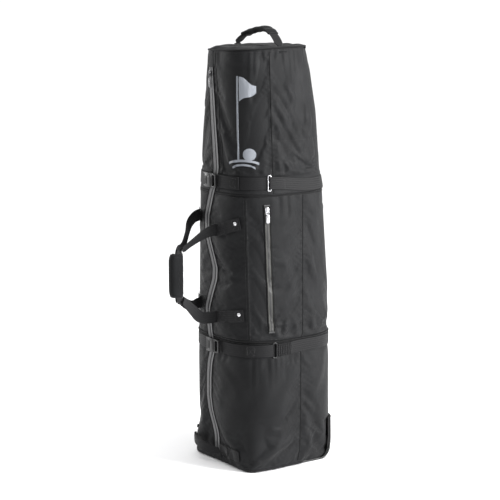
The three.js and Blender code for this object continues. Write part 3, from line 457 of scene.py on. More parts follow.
class Shell:
    """The finished cloth surface, as a fine grid of points and outward directions with the angle of each."""

    def __init__(self):
        rows = ROWS[:, None] + np.zeros_like(ANGLES)
        points, normals = base_point(ANGLES, rows)
        pinned = pinned_mask()
        points = points + normals * seam_lift()[:, None, None]
        swollen = inflated(points, pinned)
        reach = np.sum((swollen - points) * normals, -1, keepdims=True)
        drift = swollen - points - reach * normals
        swollen = points + normals * np.clip(reach, -0.006, 0.012) + drift * 0.5
        up = catmull_matrix(len(ROWS), REFINE)
        around = catmull_matrix(COLUMN_COUNT, REFINE, closed=True)
        self.z = up @ ROWS

        def refine(grid):
            return np.stack([up @ grid[..., k] @ around.T for k in range(grid.shape[-1])], axis=-1)

        turned = np.concatenate([ANGLES, ANGLES[:, :1] + 360], axis=1)
        fine_columns = np.arange(COLUMN_COUNT * REFINE) / REFINE
        wide = np.stack([np.interp(fine_columns, np.arange(COLUMN_COUNT + 1), row) for row in turned])
        self.angle = up @ wide
        fine = refine(swollen)
        soft = 1 - refine(self.sewn(pinned)[..., None])[..., 0].clip(0, 1)
        normal = self.normals_of(fine)
        heights = self.z[:, None] + np.zeros_like(self.angle)
        fine = fine + normal * (fold_height(self.angle, heights) * soft)[..., None]
        covered = behind_kick(fine)
        fine = fine - normal * (0.0065 * covered)[..., None]
        outer, away = base_point(self.angle, heights)
        height = np.sum((fine - outer) * away, -1)
        low, high = np.where(covered > 0, height, DEEPEST), PROUDEST - KICK_COVER * covered
        fine = fine + away * (np.minimum(np.maximum(height, low), high) - height)[..., None]
        fine[..., 2] += rim_rise(self.angle) * smoothstep(HEIGHT - 0.12, HEIGHT, heights)
        self.point = fine
        self.normal = self.normals_of(fine)

    @staticmethod
    def sewn(pinned):
        """How close each grid point is to a sewn line, from 0 to 1."""
        near = pinned.astype(float)
        for _ in range(2):
            blur = (np.roll(near, 1, 1) + np.roll(near, -1, 1)) / 4
            blur[1:-1] += (near[2:] + near[:-2]) / 4
            near = np.where(pinned, 1, blur)
        return near

    @staticmethod
    def normals_of(points):
        """Outward directions of a closed grid of points."""
        across = np.roll(points, -1, 1) - np.roll(points, 1, 1)
        up = np.gradient(points, axis=0)
        return unit(np.cross(across, up))

    def at(self, angle, z, lift=0.0):
        """Points of the cloth at these directions and heights, raised by lift."""
        angle, z, lift = np.broadcast_arrays(*(np.asarray(v, float) for v in (angle, z, lift)))
        shape = angle.shape
        angle, z, lift = angle.ravel(), z.ravel(), lift.ravel()
        r = np.interp(z, self.z, np.arange(len(self.z)))
        r0 = np.clip(np.floor(r).astype(int), 0, len(self.z) - 2)
        t = (r - r0)[:, None]
        columns = self.angle.shape[1]
        out = np.zeros((len(z), 3))
        normal = np.zeros((len(z), 3))
        for side, weight in ((0, 1 - t), (1, t)):
            row = self.angle[r0 + side]
            start = row[:, 0]
            wanted = start + (angle - start) % 360
            wide = np.concatenate([row, row[:, :1] + 360], axis=1)
            c = (np.sum(wide <= wanted[:, None], axis=1) - 1).clip(0, columns - 1)
            pick = np.arange(len(z))
            u = ((wanted - wide[pick, c]) / (wide[pick, c + 1] - wide[pick, c]))[:, None]
            for step, share in ((0, 1 - u), (1, u)):
                out += weight * share * self.point[r0 + side, (c + step) % columns]
                normal += weight * share * self.normal[r0 + side, (c + step) % columns]
        return (out + unit(normal) * lift[:, None]).reshape(*shape, 3)


shell = Shell()


# ---------- materials ----------
class Finish:
    """A procedural material made step by step round one Principled shader."""

    def __init__(self, name, color, roughness, metallic=0.0, sheen=0.0, coat=0.0):
        self.material = bpy.data.materials.new(name)
        self.material.use_nodes = True
        self.tree = self.material.node_tree
        self.shader = self.tree.nodes["Principled BSDF"]
        self.color = color
        self.set("Base Color", (*color, 1))
        self.set("Roughness", roughness)
        self.set("Metallic", metallic)
        self.set("Sheen Weight", sheen)
        self.set("Sheen Roughness", 0.45)
        self.set("Coat Weight", coat)
        self.heights = []

    def set(self, socket, value):
        self.shader.inputs[socket].default_value = value

    def node(self, kind, links=(), **values):
        node = self.tree.nodes.new(kind)
        for key, value in values.items():
            name = key.replace("_", " ").title() if key.replace("_", " ").title() in node.inputs else None
            if name:
                node.inputs[name].default_value = value
            else:
                setattr(node, key, value)
        for socket, source in links:
            self.tree.links.new(source, node.inputs[socket])
        return node

    def where(self, kind):
        return self.node("ShaderNodeTexCoord").outputs[kind]

    def noise(self, scale, detail=4.0):
        links = [("Vector", self.where("Object"))]
        return self.node("ShaderNodeTexNoise", links, scale=scale, detail=detail, roughness=0.55)

    def bands(self, pitch, direction, distortion=0.0):
        """A row of ridges with this pitch in metres, across the UV map's x or y."""
        links = [("Vector", self.where("UV"))]
        wave = self.node("ShaderNodeTexWave", links, scale=2 * math.pi / 20 / pitch, distortion=distortion)
        wave.bands_direction = direction
        return wave.outputs["Fac"]

    def math(self, operation, a, b):
        node = self.node("ShaderNodeMath", operation=operation)
        for socket, value in zip(node.inputs, (a, b)):
            if isinstance(value, (int, float)):
                socket.default_value = value
            else:
                self.tree.links.new(value, socket)
        return node.outputs[0]

    def mottle(self, scale, dark, light, low=0.3, high=0.7, factor=None):
        """Lets the colour wander between dark and light times the finish's own colour."""
        source = self.noise(scale).outputs["Fac"] if factor is None else factor
        ramp = self.node("ShaderNodeValToRGB", [("Fac", source)])
        for element, position, share in zip(ramp.color_ramp.elements, (low, high), (dark, light)):
            element.position = position
            element.color = (*[c * share for c in self.color], 1)
        self.tree.links.new(ramp.outputs["Color"], self.shader.inputs["Base Color"])

    def rough(self, scale, low, high):
        spread = self.node("ShaderNodeMapRange", [("Value", self.noise(scale).outputs["Fac"])])
        spread.inputs["From Min"].default_value = 0.3
        spread.inputs["From Max"].default_value = 0.7
        spread.inputs["To Min"].default_value = low
        spread.inputs["To Max"].default_value = high
        self.tree.links.new(spread.outputs["Result"], self.shader.inputs["Roughness"])

    def bump(self, height, distance, strength=1.0):
        links = [("Height", height)]
        if self.heights:
            links.append(("Normal", self.heights[-1]))
        node = self.node("ShaderNodeBump", links, distance=distance, strength=strength)
        self.heights.append(node.outputs["Normal"])
        self.tree.links.new(node.outputs["Normal"], self.shader.inputs["Normal"])


def weave(finish, pitch, depth):
    """Plain weave: threads over and under each other in both directions."""
    over = finish.math("MULTIPLY", finish.bands(pitch, "X"), finish.bands(pitch, "Y"))
    gaps = [finish.math("SUBTRACT", 1, finish.bands(pitch, way)) for way in ("X", "Y")]
    under = finish.math("MULTIPLY", *gaps)
    finish.bump(finish.math("MAXIMUM", over, under), depth, 0.8)


def polyester(name, color, roughness=0.46):
    """Woven cloth with a faint weave and uneven roughness."""
    finish = Finish(name, color, roughness, sheen=0.05)
    finish.set("Specular IOR Level", 0.10)
    finish.mottle(9, 0.80, 1.22)
    finish.rough(14, roughness, roughness + 0.2)
    finish.bump(finish.noise(34, 3).outputs["Fac"], 0.0016, 0.5)
    weave(finish, 0.0016, 0.00022)
    return finish.material


def webbing(name, color, sheen=0.25, ribbed=1.0):
    """Ribbed webbing."""
    finish = Finish(name, color, 0.6, sheen=sheen)
    finish.set("Specular IOR Level", 0.15)
    ribs = finish.bands(0.0063, "Y")
    picks = finish.bands(0.0021, "X", 0.6)
    cloth = finish.math("MULTIPLY", ribs, finish.math("ADD", 0.45, finish.math("MULTIPLY", picks, 0.55)))
    finish.mottle(1, 1 - 0.5 * ribbed, 1 + 0.7 * ribbed, 0.1, 0.85, cloth)
    finish.bump(cloth, 0.0007 * ribbed, 1.0)
    return finish.material


def plastic(name, color, roughness=0.42):
    """Moulded plastic with a fine grain."""
    finish = Finish(name, color, roughness, coat=0.08)
    finish.mottle(30, 0.85, 1.2)
    finish.rough(60, roughness - 0.08, roughness + 0.1)
    finish.bump(finish.noise(900, 2).outputs["Fac"], 0.0002, 0.4)
    return finish.material


def plated(name, color, roughness=0.22):
    """Plated metal with uneven gloss."""
    finish = Finish(name, color, roughness, metallic=1.0)
    finish.mottle(40, 0.82, 1.05)
    finish.rough(120, roughness - 0.07, roughness + 0.14)
    finish.bump(finish.noise(500, 2).outputs["Fac"], 0.00015, 0.25)
    return finish.material


def rubber(name, color):
    """Dull rubber."""
    finish = Finish(name, color, 0.75)
    finish.mottle(60, 0.7, 1.4)
    finish.bump(finish.noise(700, 3).outputs["Fac"], 0.0003, 0.5)
    return finish.material


def knit_tape(name, color):
    """Knitted zip tape."""
    finish = Finish(name, color, 0.7, sheen=0.2)
    rows = finish.math("MULTIPLY", finish.bands(0.0022, "Y"), finish.bands(0.0018, "X"))
    finish.mottle(1, 0.72, 1.2, 0.0, 0.8, rows)
    finish.bump(rows, 0.0003, 0.8)
    return finish.material


def satin_thread(name, color, pitch=0.0011):
    """Rows of shiny thread."""
    finish = Finish(name, color, 0.45, sheen=0.3)
    rows = finish.bands(pitch, "X", 1.5)
    finish.mottle(1, 0.8, 1.12, 0.0, 1.0, rows)
    finish.bump(rows, 0.0004, 0.8)
    return finish.material


CLOTH = polyester("polyester_charcoal", (0.0080, 0.0082, 0.0088))
CLOTH_TOP = polyester("polyester_top", (0.0075, 0.0077, 0.0083), 0.75)
WEB = webbing("webbing_black", (0.0058, 0.0058, 0.0064), 0.06, 0.8)
WEB_PLAIN = webbing("webbing_worn", (0.0056, 0.0056, 0.0062), 0.05, 0.3)
WEB_SOFT = webbing("webbing_carry", (0.0075, 0.0075, 0.0082), 0.05, 0.45)
# Black cord, made darker than the cloth's own black as painted shade along the piping, welts, folds and patch
# outlines.
CORD_AND_SHADE = webbing("cord_black_and_painted_shade", (0.0025, 0.0025, 0.0028), 0.02)
BINDING = webbing("binding_black", (0.005, 0.005, 0.006), 0.05)
TAPE = knit_tape("zip_tape_grey", (0.130, 0.130, 0.133))
COIL = plastic("zip_coil_grey", (0.018, 0.018, 0.019), 0.5)
TAPE_DARK = knit_tape("pocket_tape_grey", (0.046, 0.046, 0.042))
THREAD = satin_thread("thread_black", (0.012, 0.012, 0.013), 0.002)
BADGE = satin_thread("embroidery_grey", (0.17, 0.185, 0.21))
BUCKLE = plastic("buckle_black", (0.008, 0.008, 0.0085), 0.35)
KICK = plastic("wheel_base_black", (0.008, 0.008, 0.0085), 0.5)
RIM = plastic("wheel_base_edge", (0.004, 0.004, 0.0042), 0.8)
STEEL = plated("plated_steel", (0.72, 0.72, 0.74))
DARK_STEEL = plated("plated_dark", (0.17, 0.17, 0.175), 0.36)
PULL_STEEL = plated("plated_pull", (0.60, 0.60, 0.62), 0.28)
TYRE = rubber("tyre_rubber", (0.010, 0.010, 0.010))
FOAM = polyester("foam_cloth", (0.10, 0.10, 0.105))
BOARD = plastic("stiff_board", (0.05, 0.05, 0.05), 0.7)


# ---------- making pieces ----------
def piece(name, parts, material, body, replaces=(), mapped=True, sharp=40):
    """A named mesh that rides on a body (or on none yet) and stands for some CAD nodes, with UVs in metres."""
    vertices, faces, uv = parts
    mesh = raw_mesh(name, vertices, faces)
    mesh.materials.append(material)
    if mapped and uv is not None:
        layer = mesh.uv_layers.new(name="metres")
        corner = np.zeros(len(mesh.loops), int)
        mesh.loops.foreach_get("vertex_index", corner)
        layer.data.foreach_set("uv", np.asarray(uv, float).reshape(-1, 2)[corner].ravel())
    mesh.polygons.foreach_set("use_smooth", [True] * len(mesh.polygons))
    mesh.set_sharp_from_angle(angle=math.radians(sharp))
    thing = bpy.data.objects.new(name, mesh)
    bpy.context.scene.collection.objects.link(thing)
    if body:
        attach(thing, body)
    if replaces:
        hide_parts(*replaces)
    return thing


def arc_lengths(points, axis):
    """How far along its row or column each grid point lies."""
    steps = np.linalg.norm(np.diff(points, axis=axis), axis=-1)
    return np.concatenate([np.zeros_like(np.take(steps, [0], axis)), np.cumsum(steps, axis=axis)], axis=axis)


def sheet_piece(name, points, material, body, replaces=()):
    """A grid of points as one surface."""
    rows, columns = points.shape[:2]
    uv = np.stack([arc_lengths(points, 1), arc_lengths(points, 0)], -1)
    return piece(name, (points, grid_faces(rows, columns), uv), material, body, replaces)


def ribbon_mesh(centre, side, out, width, thick, edge=0.35):
    """A flat band with rounded edges; side and out are its directions at each centre point."""
    centre, side, out = (np.asarray(a, float) for a in (centre, side, out))
    n = len(centre)
    width = np.broadcast_to(np.asarray(width, float), (n,))
    thick = np.broadcast_to(np.asarray(thick, float), (n,))
    shares = (-1, -0.5, 0, 0.5, 1)
    ring = []
    for a, b in [(a, -1) for a in shares] + [(a, 1) for a in shares[::-1]]:
        corner = abs(a) == 1
        half = width / 2 - (thick * edge if corner else 0)
        lift = thick / 2 * (0.75 if corner else 1)
        shift = a * half
        ring.append(centre + side * shift[:, None] + out * (b * lift)[:, None])
        if corner:
            ring[-1] = ring[-1] + side * (np.sign(a) * thick * edge * 0.35)[:, None]
    extra = [centre + side * (s * width / 2)[:, None] for s in (1, -1)]
    ordered = ring[:5] + [extra[0]] + ring[5:] + [extra[1]]
    points = np.stack(ordered, axis=1)
    faces = capped_faces(n, points.shape[1])
    along = lengths_along(centre)
    across = np.sum((points - centre[:, None]) * side[:, None], -1)
    uv = np.stack([np.broadcast_to(along[:, None], across.shape), across], -1)
    return points.reshape(-1, 3), faces, uv.reshape(-1, 2)


def tube_mesh(path, radius, sides=8, closed=False):
    """A round bar along path."""
    path = np.asarray(path, float)
    n = len(path)
    radius = np.broadcast_to(np.asarray(radius, float), (n,))
    if closed:
        tangent = unit(np.roll(path, -1, 0) - np.roll(path, 1, 0))
    else:
        tangent = unit(np.gradient(path, axis=0))
    side = np.zeros_like(path)
    guess = np.array([0, 0, 1.0]) if abs(tangent[0][2]) < 0.9 else np.array([1.0, 0, 0])
    for i in range(n):
        guess = guess - tangent[i] * np.dot(guess, tangent[i])
        guess = guess / np.linalg.norm(guess)
        side[i] = guess
    up = np.cross(tangent, side)
    turn = turns(sides)
    ring = np.cos(turn)[None, :, None] * side[:, None] + np.sin(turn)[None, :, None] * up[:, None]
    points = path[:, None] + ring * radius[:, None, None]
    if closed:
        faces = (grid_faces(n + 1, sides, closed=True) % (n * sides)).tolist()
    else:
        faces = capped_faces(n, sides)
    along = lengths_along(path)
    uv = np.stack(np.broadcast_arrays(along[:, None], (turn * radius.mean())[None]), -1)
    return points.reshape(-1, 3), faces, uv.reshape(-1, 2)


def gathered(parts):
    """Several (vertices, faces, uv) meshes as one; its UVs are None where no part has any."""
    vertices, faces, uvs, start = [], [], [], 0
    for v, f, uv in parts:
        v = np.asarray(v).reshape(-1, 3)
        vertices.append(v)
        faces += [[start + int(i) for i in face] for face in f]
        uvs.append(np.zeros((len(v), 2)) if uv is None else np.asarray(uv).reshape(-1, 2))
        start += len(v)
    bare = all(uv is None for _, _, uv in parts)
    return np.vstack(vertices), faces, None if bare else np.vstack(uvs)


def stitches(paths, pitch=0.0042, length=0.0029, radius=0.00042):
    """Rows of short raised threads along paths, each path a line of points with its outward directions."""
    parts = []
    for points, out in paths:
        points, out = np.asarray(points, float), np.asarray(out, float)
        reach = lengths_along(points)
        starts = np.arange(pitch / 2, reach[-1] - length, pitch)
        a, b = picked(starts, reach, points), picked(starts + length, reach, points)
        normal = unit(picked(starts + length / 2, reach, out))
        side = unit(np.cross(b - a, normal)) * radius
        rise = normal * radius * 0.9
        mid = (a + b) / 2 + rise * 1.2
        for s0, s1, s2, side1, rise1 in zip(a, b, mid, side, rise):
            v = [s0, s2 - side1, s2 + rise1, s2 + side1, s1]
            parts.append((v, [[0, 2, 1], [0, 3, 2], [4, 1, 2], [4, 2, 3]], None))
    return gathered(parts)


# ---------- cloth panels ----------
def row_at(z):
    return int(np.argmin(np.abs(ROWS - z))) * REFINE


def add_panels():
    """The shell cut along its keys and seams: a piece of cloth for each stretch between two keys."""
    middle_keys = [f"{key}_right" for key in ("zip", "front", "back")]
    middle_keys += [f"{key}_left" for key in ("back", "front", "zip")]
    cuts = {
        "lower": (BASE, LOWER_SEAM, ["zip_right", "back_right", "back_left", "zip_left"]),
        "middle": (LOWER_SEAM, UPPER_SEAM, middle_keys),
        "hood": (UPPER_SEAM, HEIGHT, ["zip_right", "hood_right", "hood_left", "zip_left"]),
    }
    three = ["front_right", "back", "front_left"]
    five = ["front_right", "side_right", "back", "side_left", "front_left"]
    for part, (low, high, keys) in cuts.items():
        for name, left, right in zip(five if part == "middle" else three, keys, keys[1:]):
            start, end = KEY_COLUMN[left] * REFINE, KEY_COLUMN[right] * REFINE
            block = shell.point[row_at(low) : row_at(high) + 1, start : end + 1]
            sheet_piece(f"cloth_{part}_{name}", block, CLOTH, "case", [f"{part}_{name}"])


def add_zip_guards():
    """Cloth sewn over both ends of the main zip."""
    start, end = KEY_COLUMN["zip_left"] * REFINE - 2, COLUMN_COUNT * REFINE + 2
    columns = np.arange(start, end + 1) % shell.point.shape[1]
    for name, low, high in (("low", BASE, ZIP_GUARD_LOW), ("top", ZIP_GUARD_TOP, HEIGHT)):
        rows = np.nonzero((shell.z >= low - 1e-6) & (shell.z <= high + 1e-6))[0]
        grid = np.ix_(rows, columns)
        lift = 0.0024 * np.ones((len(rows), len(columns), 1))
        lift[:, [0, -1]] = 0.0004
        guard = shell.point[grid] + shell.normal[grid] * lift
        sheet_piece(f"cloth_zip_guard_{name}", guard, CLOTH, "case")


def add_top():
    """The padded crown, slightly dished by its stuffing and sewn in along the top seam."""
    around, rings = 144, 26
    angles = np.linspace(0, 360, around, endpoint=False)
    rim = shell.at(angles, HEIGHT, 0.0006)
    share = np.linspace(1, 0, rings)[:, None]
    points = np.zeros((rings, around, 3))
    points[..., :2] = rim[None, :, :2] * share[..., None]
    swell = CROWN * (1 - share**2.6) + 0.006 * bump(share, 0.86, 0.1)
    ripple = 0.0013 * np.sin(np.radians(angles) * 9)[None] * bump(share, 0.9, 0.12)
    ripple += 0.0011 * np.sin(np.radians(angles) * 23 + 1)[None] * bump(share, 0.95, 0.05)
    points[..., 2] = HEIGHT + 0.0015 + swell + ripple + rim_rise(angles)[None] * share**6
    faces = grid_faces(rings, around, closed=True).tolist()
    flat = points.reshape(-1, 3)
    crown = piece("crown_pad", (flat, faces, flat[:, :2]), CLOTH_TOP, "case", ["top_panel"])


# ---------- seams ----------
def with_outward(angle, z, lift):
    """Points of the cloth raised by lift, and the outward directions there."""
    points = shell.at(angle, z, lift)
    return points, unit(shell.at(angle, z, lift + 0.01) - points)


def seam_line(key, low, high, offset=0.0, lift=0.0, pitch=0.004):
    """Points up a key line of the shell, shifted sideways by offset, and the outward directions there."""
    z = np.arange(low + 0.004, high - 0.003, pitch)
    angle = np.array([key_angles(height)[KEYS.index(key)] for height in z])
    spot, _ = base_point(angle, z)
    angle = angle + np.degrees(offset / np.hypot(spot[:, 0], spot[:, 1]))
    return with_outward(angle, z, lift)


def ring_line(z, start, end, lift=0.0, pitch=0.004):
    """Points round the shell at height z between two directions, and the outward directions there."""
    count = max(3, int((end - start) * DEGREE / pitch))
    return with_outward(np.linspace(start, end, count), z, lift)


HOOD_TUCK = 1.018
FLAP = 0.034  # from the main zip to the welt beside it on the hood
UPRIGHT_SEAMS = {"front": (LOWER_SEAM, UPPER_SEAM), "back": (BASE, UPPER_SEAM), "hood": (UPPER_SEAM, HEIGHT)}


def add_seams():
    """A folded welt down each upright seam with stitches on both sides of it, and stitches round the others."""
    welts, rows = [], []
    uprights = [(f"{key}_{way}", *ends) for way in ("right", "left") for key, ends in UPRIGHT_SEAMS.items()]
    for key, low, high in uprights:
        points, _ = seam_line(key, low, high, lift=0.0001, pitch=0.006)
        welts.append(tube_mesh(points, 0.0011, 6))
        for side in (-0.0045, 0.0045):
            rows.append(seam_line(key, low, high, side, 0.0004))
    for key, side in (("zip_right", 0.004), ("zip_left", -0.004)):
        rows.append(seam_line(key, BASE + 0.01, HEIGHT, side, 0.0004))
        rows.append(seam_line(key, BASE + 0.01, HEIGHT, side * 2.4, 0.0004))
    for z in (LOWER_SEAM - 0.007, LOWER_SEAM + 0.007, UPPER_SEAM - 0.007, UPPER_SEAM + 0.007, HEIGHT - 0.007):
        start, end = key_angles(z)[0] + 1, key_angles(z)[7] - 1
        rows.append(ring_line(z, start, end, 0.0004))
    rows.append(ring_line(HOOD_TUCK, key_angles(HOOD_TUCK)[2], key_angles(HOOD_TUCK)[5], 0.0004))
    z = np.arange(UPPER_SEAM + 0.004, HEIGHT - 0.003, 0.006)
    flap = shell.at(angle_at_x(zip_x(z) + FLAP, z), z, 0.0002)
    welts.append(tube_mesh(flap, 0.0009, 6))
    piece("seam_welts", gathered(welts), CORD_AND_SHADE, "case", mapped=False)
    piece("seam_stitches", stitches(rows), THREAD, "case")


def add_piping():
    """Cords along the seams, each with a thinner dark cord below it as painted shade, and binding under the hem
    on both sides of the wheel base.
    """
    for name, z, node, bead in (
        ("piping_lower", LOWER_SEAM, "lower_seam_piping", 0.0025),
        ("piping_upper", UPPER_SEAM, "upper_seam_piping", 0.0017),
    ):
        keys = key_angles(z)
        points, _ = ring_line(z, keys[0] + 0.7, keys[7] - 0.7, bead * 0.7, 0.006)
        step = np.arange(len(points))
        points[:, 2] += 0.0012 * np.sin(step * 0.11) + 0.0006 * np.sin(step * 0.31)
        parts = [tube_mesh(points, bead, 8)]
        # A thinner dark cord 5 mm below the piping: painted shade in the gap under it.
        flat, _ = ring_line(z - 0.0052, keys[0] + 0.7, keys[7] - 0.7, 0.0008, 0.006)
        parts.append(tube_mesh(flat, bead * 0.55, 6))
        piece(name, gathered(parts), CORD_AND_SHADE, "case", [node])
    points, _ = ring_line(HEIGHT, 0, 360, 0.0012, 0.006)
    points[:, 2] += 0.0012
    parts = tube_mesh(points[:-1], 0.0026, 10, closed=True)
    piece("piping_top", parts, CORD_AND_SHADE, "case", ["top_piping"])
    hem, out = ring_line(BASE + 0.0065, key_angles(BASE)[0] - 1, key_angles(BASE)[7] + 1, 0.0012, 0.006)
    keep = (hem[:, 1] < 0.03) | (np.abs(hem[:, 0]) > 0.158)
    for name, part in (("hem_binding_right", hem[:, 0] > 0), ("hem_binding_left", hem[:, 0] <= 0)):
        chosen = np.nonzero(keep & part)[0]
        up = np.tile([0, 0, 1.0], (len(chosen), 1))
        piece(name, ribbon_mesh(hem[chosen], up, out[chosen], 0.012, 0.0018), BINDING, "case")


# ---------- zips ----------
def coil_mesh(centre, across, out, pitch, reach, wire, side):
    """One side's teeth: short bent bars that meet the other side's between them."""
    parts = []
    along = lengths_along(centre)
    places = np.arange(pitch * (0.25 if side > 0 else 0.75), along[-1], pitch)
    c, x, n = (picked(places, along, a) for a in (centre, across, out))
    x, n = unit(x) * side, unit(n)
    y = unit(np.cross(n, x)) * wire
    faces = [[3, 2, 1, 0], [4, 5, 6, 7], [0, 1, 5, 4], [1, 2, 6, 5], [2, 3, 7, 6], [3, 0, 4, 7]]
    for p, ax, ay, an in zip(c, x, y, n):
        corners = []
        for end, top in ((p - ax * 0.0006, an * wire), (p + ax * reach, an * wire * 0.6)):
            corners += [end - ay, end + ay, end + ay + top, end - ay + top]
        parts.append((corners, faces, None))
    return gathered(parts)


def add_main_zip():
    """Each side of the main zip: its tape, its teeth and the folded edge of cloth beside it."""
    z = np.arange(ZIP_BOTTOM, ZIP_TOP, 0.004)
    centre_x = zip_x(z)

    def line(offset, lift):
        return shell.at(angle_at_x(centre_x + offset, z), z, lift)

    for name, side, node in (("right", 1, "main_zip_right"), ("left", -1, "main_zip_left")):
        edges = [0.0011, 0.004, 0.0075, 0.011, 0.0148]
        lifts = [-0.0002, 0.0000, 0.0004, 0.0007, 0.0009]
        order = list(zip(edges, lifts)) if side > 0 else list(zip(edges, lifts))[::-1]
        tape = np.stack([line(side * e, h) for e, h in order], axis=1)
        sheet_piece(f"zip_tape_{name}", tape, TAPE, "case", [node])
        centre, out = line(0, 0.0002), line(0, 0.01) - line(0, 0)
        across = line(0.004, 0) - line(0, 0)
        parts = coil_mesh(centre, across, out, 0.0034, 0.0032, 0.0011, side)
        piece(f"zip_coil_{name}", parts, COIL, "case")
        fold = line(side * 0.0158, 0.0016)
        piece(f"zip_fold_{name}", tube_mesh(fold, 0.0013, 6), CORD_AND_SHADE, "case")


# The ends of the pocket zip (direction, height), and how far from the bag's axis it runs.
POCKET_TOP = (math.degrees(math.atan2(-98.1, 155.7)), 0.826)
POCKET_BOTTOM = (math.degrees(math.atan2(-87.7, 170.2)), 0.439)
POCKET_RADIUS = 0.186


def pocket_line(offset, lift, low=0.0, high=1.0, count=98):
    """Points down the pocket zip, shifted sideways by offset and raised by lift."""
    t = np.linspace(low, high, count)
    angle = POCKET_TOP[0] + (POCKET_BOTTOM[0] - POCKET_TOP[0]) * t
    z = POCKET_TOP[1] + (POCKET_BOTTOM[1] - POCKET_TOP[1]) * t
    return shell.at(angle + np.degrees(offset / POCKET_RADIUS), z, lift)


def add_pocket_zip():
    """Each side of the pocket zip, the bars across its ends, and a row of stitches beside it."""
    for name, side, node in (("front", -1, "pocket_zip_front"), ("rear", 1, "pocket_zip_rear")):
        edges = [0.0008, 0.0028, 0.0050, 0.0072]
        order = edges if side > 0 else edges[::-1]
        tape = np.stack([pocket_line(side * e, 0.0009)[::-1] for e in order], axis=1)
        sheet_piece(f"pocket_tape_{name}", tape, TAPE_DARK, "case", [node])
        centre, raised = pocket_line(0, 0.0005), pocket_line(0, 0.0105)
        across = pocket_line(0.004, 0.0005) - centre
        parts = coil_mesh(centre, across, raised - centre, 0.0030, 0.0026, 0.0011, side)
        piece(f"pocket_coil_{name}", parts, COIL, "case")
        fold = pocket_line(side * 0.0084, 0.0014)
        piece(f"pocket_fold_{name}", tube_mesh(fold, 0.0016, 6), CORD_AND_SHADE, "case")
    rows = []
    for offset in (-0.014, 0.014):
        line = pocket_line(offset, 0.0004)
        rows.append((line, pocket_line(offset, 0.0104) - line))
    ends = []
    for t in (0.0, 1.0):
        bar = np.vstack([pocket_line(s, 0.0022, t, t, 1) for s in np.linspace(-0.0085, 0.0085, 7)])
        ends.append(tube_mesh(bar, 0.0022, 8))
    piece("pocket_end_stops", gathered(ends), THREAD, "case")
    piece("pocket_stitches", stitches(rows), THREAD, "case")


# ---------- small hardware shapes ----------
def inset(outline, amount):
    """A convex outline (counter-clockwise) moved inwards by amount."""
    p = np.asarray(outline, float)
    before, after = unit(p - np.roll(p, 1, 0)), unit(np.roll(p, -1, 0) - p)
    left = lambda d: np.stack([-d[:, 1], d[:, 0]], 1)
    push = left(before) + left(after)
    share = np.maximum(np.sum(push * left(before), 1), 0.4)
    return p + push / share[:, None] * amount


def rounded_rect(x0, x1, y0, y1, radius, steps=5):
    """The outline of a rectangle with rounded corners, counter-clockwise."""
    points = []
    left, right, low, high = x0 + radius, x1 - radius, y0 + radius, y1 - radius
    centres = ((right, low), (right, high), (left, high), (left, low))
    for k, (cx, cy) in enumerate(centres):
        for t in np.linspace(0, math.pi / 2, steps):
            a = -math.pi / 2 + k * math.pi / 2 + t
            points.append((cx + radius * math.cos(a), cy + radius * math.sin(a)))
    return points


class Place:
    """A flat place on the object: its origin and its x, y and outward directions."""

    def __init__(self, origin, x, y):
        self.origin, self.x, self.y = np.asarray(origin, float), unit(x), unit(y)
        self.out = unit(np.cross(self.x, self.y))

    def at(self, points):
        p = np.asarray(points, float)
        return self.origin + p[..., :1] * self.x + p[..., 1:2] * self.y + p[..., 2:3] * self.out


def slab(place, outline, low, high, bevel):
    """A flat plate with softened edges, from low to high above its place."""
    cut = bevel * 0.3
    levels = [(low, bevel), (low + cut, cut), (low + bevel, 0)]
    levels += [(high - bevel, 0), (high - cut, cut), (high, bevel)]
    rings = []
    for level, inwards in levels:
        flat = inset(outline, inwards)
        rings.append(np.column_stack([flat, np.full(len(flat), level)]))
    return place.at(np.vstack(rings)), capped_faces(len(rings), len(outline)), None


def plate(place, box, radius, levels, bevel, steps=3):
    """A rounded rectangle (x0, x1, y0, y1) raised from one level to another. These sizes are in millimetres."""
    outline = rounded_rect(*(v / 1000 for v in box), radius / 1000, steps)
    return slab(place, outline, levels[0] / 1000, levels[1] / 1000, bevel / 1000)


def mirrored(half):
    """An outline from its right half, which is given from the bottom up."""
    return [(-half[0][0], half[0][1]), *half, *((-x, y) for x, y in half[:0:-1])]


def frame_ring(place, outline, radius, lift):
    """A round wire bent along a closed outline."""
    path = np.column_stack([outline, np.full(len(outline), lift)])
    return tube_mesh(place.at(path), radius, 10, closed=True)


def dome(place, radius, height, sides=24, rings=6):
    """A round rivet head."""
    points = [[0, 0, height]]
    for k in range(1, rings + 1):
        t = k / rings * math.pi / 2
        for a in turns(sides):
            reach = radius * math.sin(t)
            points.append([reach * math.cos(a), reach * math.sin(a), height * math.cos(t)])
    faces = [[0, 1 + j, 1 + (j + 1) % sides] for j in range(sides)]
    faces += (grid_faces(rings, sides, closed=True) + 1).tolist()
    return place.at(points), faces, None


def cloth_place(angle, z, lift=0.0, rise=None):
    """A place on the cloth; its y axis runs up the cloth, measured over rise either way, or straight up."""
    beside = shell.at(angle + 1, z, lift) - shell.at(angle - 1, z, lift)
    above = (0, 0, 1) if rise is None else shell.at(angle, z + rise, lift) - shell.at(angle, z - rise, lift)
    return Place(shell.at(angle, z, lift), beside, above)


# ---------- zip sliders ----------
class Slider:
    """A zip slider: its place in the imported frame, the place its pull hangs from, and their sizes."""

    def __init__(self, name, metal, down, across, pivot, long, wide, tab_long, tab_wide):
        self.name, self.metal = name, metal
        self.long, self.wide, self.tab_long, self.tab_wide = long, wide, tab_long, tab_wide
        down, across, pivot = np.array(down), np.array(across), np.array(pivot)
        out = np.cross(across, down)
        # the y axis of both places points up the zip, and their out axis away from the bag
        self.seat = Place(pivot - out * 0.00435 - down * 0.0012, -across, -down)
        self.hang = Place(pivot, -across, -down)


